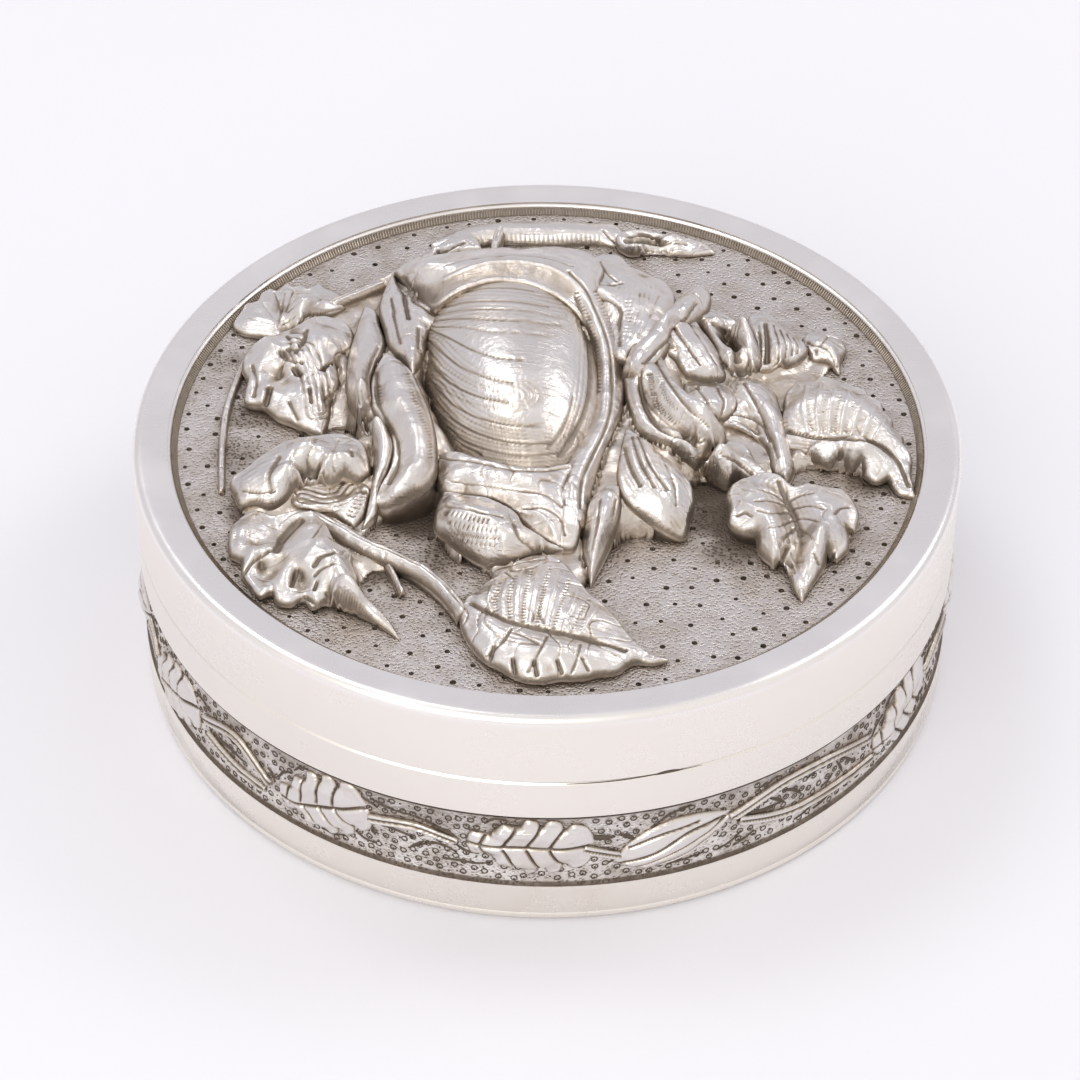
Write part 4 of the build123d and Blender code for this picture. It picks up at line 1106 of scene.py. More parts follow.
def joined(name, pieces):
    """One object of several meshes."""
    mesh = bpy.data.meshes.new(name)
    points, faces, dark = [], [], []
    for piece in pieces:
        start = len(points)
        points += [tuple(v.co) for v in piece.data.vertices]
        faces += [tuple(start + i for i in p.vertices) for p in piece.data.polygons]
        values = np.empty(len(piece.data.vertices), np.float32)
        piece.data.attributes["tarnish_and_shade"].data.foreach_get("value", values)
        dark.append(values)
        finish = piece.data.materials[0]
        old = piece.data
        bpy.data.objects.remove(piece)
        bpy.data.meshes.remove(old)
    mesh.from_pydata(points, [], faces)
    mesh.attributes.new("tarnish_and_shade", "FLOAT", "POINT").data.foreach_set("value", np.concatenate(dark))
    mesh.materials.append(finish)
    mesh.shade_smooth()
    whole = bpy.data.objects.new(name, mesh)
    bpy.context.scene.collection.objects.link(whole)
    return whole


UNIT_LEAVES = [(-121.0, 0.2, 13.0, 9.4, 20), (-91.6, 0.8, 14.8, 9.0, 0)]
JOIN_LEAVES = [(-153.0, -0.9, 13.0, 9.2, 16), (-190.0, 0.4, 15.6, 8.8, -6)]
UNIT_BUDS = [(-72.0, -0.2, 15.4, 6.8, 14)]
JOIN_BUDS = [(-172.0, 0.0, 14.2, 6.4, 12)]
UNIT_STEMS = [
    [(-113.8, 0.9), (-107.0, 1.7), (-101.4, 0.5)],
    [(-84.6, 0.3), (-79.6, -1.3)],
    [(-64.2, 0.9), (-56.0, 3.2), (-49.0, 3.0), (-39.5, 1.0)],
    [(-62.8, -0.2), (-55.0, -2.2), (-46.0, -2.6), (-38.5, -2.9)],
]
JOIN_STEMS = [
    [(-143.8, 0.6), (-136.5, 2.4), (-130.0, -1.4)],
    [(-143.2, -1.4), (-137.0, -2.6), (-131.0, -2.9)],
    [(-182.4, 0.6), (-179.0, -0.6)],
    [(-164.6, 1.3), (-162.0, 0.6), (-160.2, -1.6)],
    [(-218.0, 1.2), (-207.0, 2.2), (-198.6, 0.8)],
    [(-218.0, -2.6), (-208.0, -2.4), (-197.6, -0.8)],
]


UNIT_STROKES = [
    ([(-115.8, 15.9), (-114.2, 15.2), (-112.6, 14.6)], 0.45), ([(-113.6, 15.7), (-112, 15.2), (-110.3, 14.9)], 0.45),
    ([(-110.3, 14.9), (-107, 14.7), (-104, 13.9)], 0.35), ([(-104.9, 13.9), (-103, 13.4), (-101.4, 12.6)], 0.55),
    ([(-112.8, 11.9), (-110, 11.7), (-107.3, 11.2)], 0.4), ([(-101.8, 11.7), (-100.3, 10.7), (-98.5, 10.5)], 0.45),
    ([(-106.5, 10.2), (-105, 11), (-103, 10.9), (-101.5, 10.2)], 0.4), ([(-108, 9.4), (-106.8, 10.3), (-106, 11)], 0.5),
    ([(-103.5, 8.8), (-101, 8.9), (-98.8, 8.8), (-96.9, 9.2)], 0.4), ([(-114.5, 11.8), (-113.4, 10.9), (-113, 9.8)], 0.5),
    ([(-100.4, 14.4), (-98.9, 14.2), (-97.7, 13.6)], 0.35), ([(-97.7, 15.6), (-96.4, 16.5), (-94.9, 16.4)], 0.35),
    ([(-93.6, 16.7), (-92.3, 17), (-91, 16.7)], 0.3), ([(-89.6, 16.8), (-88.2, 16.4), (-87.2, 15.5)], 0.35),
    ([(-86.0, 15.8), (-84.8, 14.9), (-84.4, 13.8)], 0.4), ([(-84.4, 13.6), (-82.4, 13.5), (-80.4, 13.4)], 0.9),
    ([(-79.8, 13.7), (-78.6, 13.2), (-77.6, 12.4)], 0.7), ([(-81.2, 9.2), (-79.7, 10), (-78.6, 10.9)], 0.6),
    ([(-83.0, 12.0), (-81.6, 11.6), (-80.4, 11.4)], 0.35), ([(-62.6, 12.8), (-61, 11.9), (-58.5, 11.4), (-56, 11.5)], 0.6),
    ([(-58, 12.9), (-56.8, 12.2), (-55.4, 11)], 0.5), ([(-56, 13.3), (-54, 12.4), (-52.6, 11)], 0.5),
    ([(-46.2, 12.8), (-45.3, 11.4), (-44.8, 10.2)], 0.4), ([(-45, 12.8), (-43.6, 11.6), (-42, 10.2)], 0.4),
    ([(-51.8, 13.1), (-50.5, 13.5), (-48.8, 13.7)], 0.3), ([(-49, 10.1), (-47.5, 10.6), (-46.9, 11.3)], 0.35),
    ([(-60, 15.5), (-58.6, 15.6), (-57, 16.2)], 0.35), ([(-66, 7.6), (-64, 8.2), (-62.6, 9.2)], 0.35),
    ([(-63.4, 7.4), (-61.8, 7.9), (-60.4, 8.6)], 0.35), ([(-53.6, 7.2), (-52, 7.4), (-50.6, 8)], 0.35),
    ([(-50.2, 7.2), (-48.6, 7.4), (-47.2, 8)], 0.35), ([(-76, 8.2), (-72, 7.5), (-68, 7.9)], 0.35),
    ([(-76, 13.6), (-73, 15.6), (-70, 16.4)], 0.3), ([(-130.5, 12.6), (-129.6, 11.9), (-129.3, 10.9)], 0.4),
    ([(-128.6, 12), (-127.6, 13.4), (-126.2, 14.2)], 0.4), ([(-125.6, 14.8), (-124.6, 15.8), (-123.2, 16.2)], 0.35),
    ([(-115.9, 9.4), (-114.6, 8.6), (-113, 8.5)], 0.4), ([(-121.4, 7.4), (-119.4, 7.3), (-117.6, 7.9)], 0.3),
]
JOIN_STROKES = [
    ([(-142, 10.4), (-139, 10.9), (-135.6, 10.6)], 0.7), ([(-141.6, 13), (-139, 12.7), (-136, 12.4)], 0.5),
    ([(-146.5, 14.6), (-144.6, 14.8), (-143, 14.2)], 0.4), ([(-165, 13.6), (-163, 13.9), (-161, 13.2)], 0.5),
    ([(-183, 10.4), (-181, 10), (-179.6, 9.4)], 0.5), ([(-205, 12.6), (-202.6, 11.6), (-200, 11.3)], 0.6),
    ([(-211, 11.6), (-208.6, 11), (-206, 11)], 0.5), ([(-216, 12.4), (-214.6, 11.2), (-213.6, 10.2)], 0.4),
]
SEAM_NICK = [([(-87, 22.95), (-80, 23), (-76, 23.1), (-69, 23)], 0.16), ([(-75.6, 23.1), (-73.4, 23.2), (-71.6, 23.05)], 0.5)]


def round_the_box(unit, join):
    """The unit's places in three quarters of the garland, and the join's in the fourth."""
    turned = []
    for k in range(3):
        for place in unit:
            if isinstance(place, list):
                turned.append([(angle + 90 * k, rise) for angle, rise in place])
            elif isinstance(place[0], list):
                turned.append(([(angle + 90 * k, height) for angle, height in place[0]], place[1]))
            else:
                turned.append((place[0] + 90 * k, *place[1:]))
    return turned + join


class BETELBOX_OT_garland(bpy.types.Operator):
    """Chases the garland of leaves, buds and stems round the base, and punches its ground"""
    bl_idname = "betelbox.garland"
    bl_label = "Garland"

    def execute(self, context):
        s = sizes()
        leaves = [garland_leaf(f"leaf_{n}", *place, flip=1 if n % 2 else -1)
                  for n, place in enumerate(round_the_box(UNIT_LEAVES, JOIN_LEAVES))]
        set_out(joined("garland_leaves_chased", leaves), "base", "chased_silver", "frieze_leaves")
        buds = [garland_bud(f"bud_{n}", *place) for n, place in enumerate(round_the_box(UNIT_BUDS, JOIN_BUDS))]
        set_out(joined("garland_buds_chased", buds), "base", "chased_silver", "frieze_buds")
        stems = [garland_stem(f"stem_{n}", run) for n, run in enumerate(round_the_box(UNIT_STEMS, JOIN_STEMS))]
        set_out(joined("garland_stems_chased", stems), "base", "chased_silver", "frieze_stems")
        reach = s.outer_radius - 0.4 * MM
        low, high = 6.2 * MM, 17.0 * MM
        edge = s.outer_radius - 0.04 * MM
        # The band's top and bottom edges are dark: oxide and painted shade in the corners where it meets the wall.
        band = turned_piece("garland_ground_band",
                            [(reach - 0.2 * MM, low), (edge, low - 0.22 * MM), (reach + 0.05 * MM, low + 0.2 * MM),
                             (reach, low + 0.4 * MM), (reach, high - 0.3 * MM), (edge, high + 0.3 * MM),
                             (reach - 0.2 * MM, high)],
                            "garland_ground", [0.9, 0.9, 0.7, 0.05, 0.05, 0.9, 0.9])
        set_out(band, "base", "chased_silver")
        strokes = chisel_strokes("garland_strokes", round_the_box(UNIT_STROKES, JOIN_STROKES), reach / MM + 0.02)
        set_out(strokes, "base", "chased_silver")
        nick = chisel_strokes("seam_nick", SEAM_NICK, s.outer_radius / MM, 0.02)
        set_out(nick, "base", "chased_silver")
        strip = turned_piece("ring_seed", [(reach, low + 0.7 * MM), (reach, high - 0.7 * MM)], "garland_ground")
        seed = turned_piece("dot_seed", [(reach, low + 0.5 * MM), (reach, high - 0.5 * MM)], "garland_ground")
        rings = grown("garland_ring_punches", strip, ring_tree(), {
            "Distance": s.ring_distance, "Ring": 0.36 * MM, "Wire": 0.09 * MM, "Tarnish": 0.72},
                      "garland_ground")
        set_out(rings, "base", "chased_silver")
        dots = grown("garland_dot_punches", seed, ring_tree(), {
            "Distance": 0.8 * s.ring_distance, "Ring": 0.05 * MM, "Wire": 0.08 * MM, "Tarnish": 1.0},
                     "garland_ground")
        set_out(dots, "base", "chased_silver")
        return {"FINISHED"}


# ---------------------------------------------------------------- rose bud
BUD_CENTRE = (-4.5, 10.0, 1.3)
BUD_TURN = math.radians(8.6)
BUD_GIRTH = 10.7
BUD_WIDENING = 1.07
BUD_BACK = 13.3
BUD_FRONT = 24.5


def bud_piece(name, grooves, ticks, combs):
    """An egg of revolution lying on the panel, cut off by it, with engraved petals' edges."""
    along_axis = np.array([-math.sin(BUD_TURN), math.cos(BUD_TURN)])
    across_axis = np.array([math.cos(BUD_TURN), math.sin(BUD_TURN)])
    start_dip = math.asin(min(1.0, (BUD_CENTRE[2] + 0.15) / BUD_GIRTH))
    bands = 210
    flats = 230
    lengthwise = np.linspace(-0.5 * math.pi * 0.985, 0.5 * math.pi * 0.985, bands)
    points = []
    for a in lengthwise:
        reach = BUD_BACK if a > 0 else BUD_FRONT
        x = reach * math.sin(a)
        girth = BUD_GIRTH * math.cos(a) ** (0.86 if a > 0 else 0.92)
        dip = math.asin(min(1.0, (BUD_CENTRE[2] + 0.15) / max(girth, 1.6)))
        turn = np.linspace(-dip, math.pi + dip, flats)
        for b in turn:
            side = girth * math.cos(b) * BUD_WIDENING
            up = BUD_CENTRE[2] + girth * math.sin(b)
            place = along_axis * x + across_axis * side
            points.append((BUD_CENTRE[0] + place[0], BUD_CENTRE[1] + place[1], up))
    p = np.array(points)
    grid = p.reshape(bands, flats, 3)
    du = np.gradient(grid, axis=0)
    dv = np.gradient(grid, axis=1)
    normal = np.cross(dv, du)
    normal /= np.linalg.norm(normal, axis=2)[:, :, None] + 1e-12
    middle = np.array([BUD_CENTRE[0], BUD_CENTRE[1], 0])
    if np.sum(normal * (grid - middle)) < 0:
        normal = -normal
    seen_x, seen_y = drawn_at(grid[:, :, 0], grid[:, :, 1], grid[:, :, 2])
    detail = engraved(seen_x, seen_y, grooves, ticks, (), combs)
    facing = np.sum(normal * (np.array([EYE[0], EYE[1], EYE[2]]) - grid), 2) > 0
    detail = np.where(facing, detail, 0)
    grid = grid + normal * detail[:, :, None]
    # Painted shade: the bud darkens toward its front, below seen y 2 mm, and along its left flank, over a faint
    # darkening all over.
    tan_and_shade = 0.05 + 0.34 / (1 + np.exp((seen_y - 2.0) / 1.2)) + 0.2 / (1 + np.exp((seen_x + 12.2) / 0.8))
    dark = np.clip(tan_and_shade - detail * 4.0, 0, 0.8).reshape(-1)
    grid[:, :, 2] = np.maximum(grid[:, :, 2], -0.15)
    faces = []
    for i in range(bands - 1):
        for j in range(flats - 1):
            a = i * flats + j
            faces.append((a, a + 1, a + flats + 1, a + flats))
    rim_back = [(bands - 1) * flats + j for j in range(flats)]
    rim_front = [j for j in range(flats)]
    left = [i * flats for i in range(bands)]
    right = [i * flats + flats - 1 for i in range(bands)]
    faces.append(tuple(rim_back))
    faces.append(tuple(rim_front[::-1]))
    base = left + rim_back[1:-1][::1][:0] + right[::-1]
    faces.append(tuple(base))
    raised_parts.append(grid.reshape(-1, 3))
    every = grid.reshape(-1, 3) * MM
    every[:, 2] += sizes().panel_face
    piece = new_piece(name, every, faces, "chased_silver", dark)
    return piece


class BETELBOX_OT_rose_bud(bpy.types.Operator):
    """Raises the rose bud, the crumpled calyx at its foot and the hood that folds round it"""
    bl_idname = "betelbox.rose_bud"
    bl_label = "Rose bud"

    def execute(self, context):
        bud = bud_piece(
            "rose_bud_raised",
            grooves=[
                ([(-13.2, 26.6), (-11, 28.2), (-8, 29.2), (-5, 29.4), (-2, 28.8)], 0.17, 0.12),
                ([(-13.8, 25.0), (-11, 26.2), (-7.6, 26.7), (-4, 26.5), (0, 25.6)], 0.17, 0.15),
                ([(-14.2, 23.6), (-11, 24.7), (-7, 25), (-3, 24.7), (1.4, 23.4)], 0.17, 0.12),
                ([(-14.4, 22.4), (-11, 23), (-7, 22.8), (-3, 22.6), (1.6, 21.8)], 0.17, 0.15),
                ([(-14.6, 21.2), (-11, 21.2), (-7.4, 20.4), (-3.6, 20.2), (0.8, 19.6)], 0.17, 0.12),
                ([(-14.8, 20.6), (-12.4, 19), (-9.6, 16.8), (-6.6, 15.4), (-3, 14.8)], 0.17, 0.22),
                ([(-15.2, 18.6), (-13, 15.8), (-10.6, 13.2), (-7.6, 11.4), (-4.4, 10.4)], 0.17, 0.17),
                ([(-15.6, 15.6), (-13.8, 12.4), (-11.4, 9.6), (-8.4, 7.6), (-5, 6.6)], 0.17, 0.22),
                ([(-15.6, 12.6), (-13.8, 9), (-11.6, 6), (-8.4, 3.6), (-4.6, 2.4), (-1, 2.2)], 0.17, 0.19),
                ([(-15.2, 9.4), (-13.2, 5.4), (-10.8, 2.4), (-7.6, 0.2), (-4, -1), (0.4, -1)], 0.17, 0.2),
                ([(-14.6, 6), (-12.4, 1.8), (-9.6, -1.2), (-6.2, -2.8), (-2.4, -3.4), (1.4, -2.8)], 0.17, 0.17),
                ([(-13.6, 3), (-11.4, -0.6), (-8, -3.4)], 0.17, 0.17),
                ([(1.6, 30), (3.6, 25.8), (4.8, 20.8), (5.3, 15), (5.2, 9), (4.4, 4), (3, 0), (1.6, -3.4)], 0.34, 0.24),
                ([(3.2, 8), (2.6, 4), (1.4, 0.6), (0, -2)], 0.17, 0.14)],
            ticks=[
                ([(-14.6, 19.8), (-11.8, 17.2), (-8.6, 14.6)], 0.34, 0.62, 0.06),
                ([(-15.2, 16.8), (-12.6, 13.2), (-9.4, 10.2), (-6, 8.6)], 0.34, 0.62, 0.07),
                ([(-15.4, 13.4), (-13, 9.6), (-10, 6.6), (-6.4, 4.8)], 0.34, 0.62, 0.07),
                ([(-15, 10.2), (-12.6, 6.2), (-9.6, 3.2), (-5.8, 1.6)], 0.34, 0.62, 0.07),
                ([(-14.4, 7), (-11.8, 2.6), (-8.8, 0), (-5, -1.4)], 0.32, 0.6, 0.06),
                ([(2.2, 27.6), (3.8, 23.6), (4.6, 19.4)], 0.34, 0.66, 0.08),
                ([(3.9, 6), (3, 2), (1.8, -1.4)], 0.34, 0.66, 0.08)],
            combs=[
                ([(-13.6, 24.2), (-9, 25.6), (-4, 25.4), (1.6, 23.8)], 3.8, 0.74, 0.06),
                ([(-15.4, 17), (-12.4, 12.6), (-8.6, 9.4), (-4, 8)], 3.4, 0.74, 0.07),
                ([(-15, 9), (-12, 3.6), (-8, 0.4), (-3, -0.9), (1, -0.6)], 3.8, 0.72, 0.07),
                ([(2, 29), (4, 24), (4.6, 15), (4, 6), (2.6, 0)], 1.1, 0.6, 0.06)])
        set_out(bud, "lid", "chased_silver", "rose_bud")
        calyx = chase(
            "bud_calyx_chased",
            [(-13.0, -3.0, 4.4), (-11.4, -2.4, 5.4), (-8.6, -3.4, 6.2), (-4.6, -4.9, 6.5), (-0.5, -5.3, 6.5),
             (3.0, -4.2, 6.4), (3.4, -8.4, 5.6), (3.4, -12, 5.0), (4.0, -16, 4.0), (3.2, -19.6, 2.8),
             (0.6, -19.2, 3.0), (-1.6, -17.4, 3.4), (-3.2, -15.2, 3.8), (-5.4, -12.6, 4.2), (-8.8, -11, 4.2),
             (-12.4, -10, 3.6), (-13.4, -6.4, 3.8)],
            forms=[[(-11.8, -5.4, 5.2), (-8, -6.2, 6.3), (-4, -6.8, 6.8), (0, -7, 6.8)],
                   [(-11.4, -8.4, 4.7), (-7, -9.2, 5.5), (-3, -10.2, 5.8), (0.6, -11.6, 5.8), (2, -15.6, 4.7)]],
            grooves=[([(-13, -4), (-9, -4.4), (-5, -5.7), (-1, -6.1), (2.6, -5.4)], 0.2, 0.2),
                     ([(-11.8, -8), (-8, -8.8), (-4, -9.6), (-0.5, -10.2), (1.8, -12.4)], 0.2, 0.18),
                     ([(-2.6, -13), (-0.4, -12.8), (1.6, -14.6), (2.2, -17.4)], 0.22, 0.24),
                     ([(2.9, -6), (1.9, -9.4), (2.2, -12)], 0.22, 0.22)],
            ridges=[([(-3.6, -13.6), (-1.4, -13.8), (0.4, -15.8), (1.2, -18)], 0.4, 0.3)],
            roll=0.3, undercut=0.6, flow=0.03,
            shades=[([(-12, -6), (-6, -6.4), (1, -7)], 2.4, 0.22), ([(-9, -10.4), (-3, -11.4), (1.4, -15)], 2.4, 0.22)])
        set_out(calyx, "lid", "chased_silver", "bud_calyx")
        hood = chase(
            "bud_hood_chased",
            [(-19.8, 32.6, 4.0), (-17.8, 34.9, 5.0), (-14.6, 36.0, 6.6), (-11.6, 36.8, 8.0), (-8.7, 37.5, 9.0),
             (-5.8, 37.8, 9.4), (-3.7, 37.4, 9.6), (-1.4, 37.9, 9.6), (2, 38.0, 9.0), (5.4, 36.6, 8.0),
             (7.0, 33.6, 7.4), (6.6, 30.4, 7.6), (6.9, 27.2, 7.4), (8.1, 23.3, 6.8), (9.0, 19.6, 6.0),
             (9.4, 15.4, 5.4), (9.6, 9, 5.0), (9.0, 3.7, 4.8), (7.9, -0.4, 4.4), (6.7, -4.6, 4.0), (5.8, -9, 3.6),
             (5.2, -13.4, 3.0), (4.6, -17.2, 2.4), (3.2, -17.0, 3.2), (2.4, -13.4, 4.2), (1.6, -11, 4.6),
             (1.4, -8.4, 4.8), (1.7, -5.7, 5.0), (2.6, -2.2, 5.2), (3.6, 0.7, 5.2), (4.8, 3.4, 5.0),
             (5.6, 7.8, 5.6), (5.8, 13.7, 6.4), (5.4, 18.7, 7.4), (4.6, 22.3, 8.4), (3.1, 25.3, 9.4),
             (1.2, 27.6, 10.2), (-1.4, 29.5, 10.6), (-4.4, 30.6, 10.8), (-7.2, 30.7, 10.8), (-9.6, 29.8, 10.4),
             (-11.6, 28.6, 9.8), (-13.0, 27.0, 8.8), (-14.2, 25.4, 7.8), (-15.8, 25.2, 5.6), (-17.0, 27.2, 4.8),
             (-18.2, 30.0, 4.2)],
            forms=[[(-17.8, 31.0, 6.6), (-15.6, 30.6, 8.2), (-13.2, 31.6, 9.6), (-10.6, 33.2, 10.7), (-7.6, 34.5, 11.3),
                    (-4.6, 34.9, 11.5), (-2, 34.5, 11.5), (0.4, 33.5, 11.4), (2.4, 31.7, 11.0), (4, 29.4, 10.4),
                    (5.1, 25.8, 9.6), (6.1, 22, 8.8), (6.9, 18, 8.1), (7.2, 13.4, 7.5), (7.1, 7.8, 6.9),
                    (6.4, 3.4, 6.4), (5.3, 0.2, 6.3), (4.2, -3.0, 6.2), (3.2, -6.2, 6.0), (2.8, -9, 5.7),
                    (3.0, -12, 5.2), (3.8, -15.6, 4.3)],
                   [(-14.6, 28.2, 7.8), (-12.6, 30.0, 9.3), (-10.4, 31.4, 10.3), (-8, 32.3, 10.9), (-5, 32.7, 11.1),
                    (-2, 32.3, 11.1), (0.6, 31.2, 10.8), (2.4, 29.4, 10.3), (3.9, 26.6, 9.5), (5.0, 23.2, 8.6)],
                   [(-17, 33.4, 6.6), (-13.6, 34.6, 8.6), (-9.8, 36.0, 10.2), (-5, 36.6, 10.9), (-1, 36.6, 10.9),
                    (3, 35, 10.4)],
                   [(5.2, 32, 9.4), (6.0, 28.4, 8.8), (7.2, 24, 8.1), (8.2, 19.4, 7.2), (8.5, 14, 6.5), (8.5, 9, 6.1),
                    (8.2, 4.0, 5.8), (7.2, 0.0, 5.5), (5.9, -4.6, 5.0), (5, -9, 4.6), (4.4, -13.4, 4.0)]],
            grooves=[([(2.6, 32.8), (4.6, 29.4), (5.8, 25.6), (6.9, 21.4), (7.6, 17.4), (7.9, 12), (7.7, 6),
                       (6.8, 1.2), (5.4, -3.2), (4.2, -7.6), (4.0, -12.6)], 0.24, 0.34),
                     ([(-18, 32), (-14.4, 33.4), (-10, 35.2), (-5, 36), (-1, 35.8), (3, 34)], 0.22, 0.12),
                     ([(3.4, 27.6), (4.4, 23.6), (5.4, 19), (5.9, 13), (5.6, 7), (4.6, 2.6), (3.2, -1.6),
                       (2.2, -5.6), (1.9, -9)], 0.24, 0.24),
                     ([(-17.8, 29), (-18.4, 31.2)], 0.4, 0.5)],
            ticks=[([(3.6, 28.4), (4.7, 24.6), (5.6, 20.4), (6.2, 15), (6.3, 9)], 0.3, 0.7, 0.16),
                   ([(5.9, 28.8), (7.0, 24.4), (7.9, 20)], 0.34, 0.7, 0.14)],
            ridges=[([(-13.4, 30.9), (-10.6, 33), (-7.6, 34.4), (-4.6, 34.8), (-2, 34.4), (0.4, 33.4), (2.4, 31.6),
                      (4, 29.2)], 0.26, 0.22),
                    ([(3.1, -7.4), (2.7, -8.3), (3.0, -9.2)], 0.4, 0.5)],
            roll=0.35, undercut=0.0, lip=0.6, wave=0.1, flow=0, crease=0.04,
            shades=[([(-17, 31), (-6, 36.4), (6, 34)], 5.0, 0.12), ([(-14.2, 28.4), (-12, 30.6), (-8, 32.4), (-5, 32.8), (-2, 32.4), (0.8, 31), (2.8, 28.6)], 1.8, 0.32),
                    ([(-16.6, 28.6), (-14.2, 25.8)], 1.5, 0.6), ([(5.4, 24), (5.9, 16), (5.6, 6)], 0.7, 0.3)])
        set_out(hood, "lid", "chased_silver", "bud_hood")
        return {"FINISHED"}


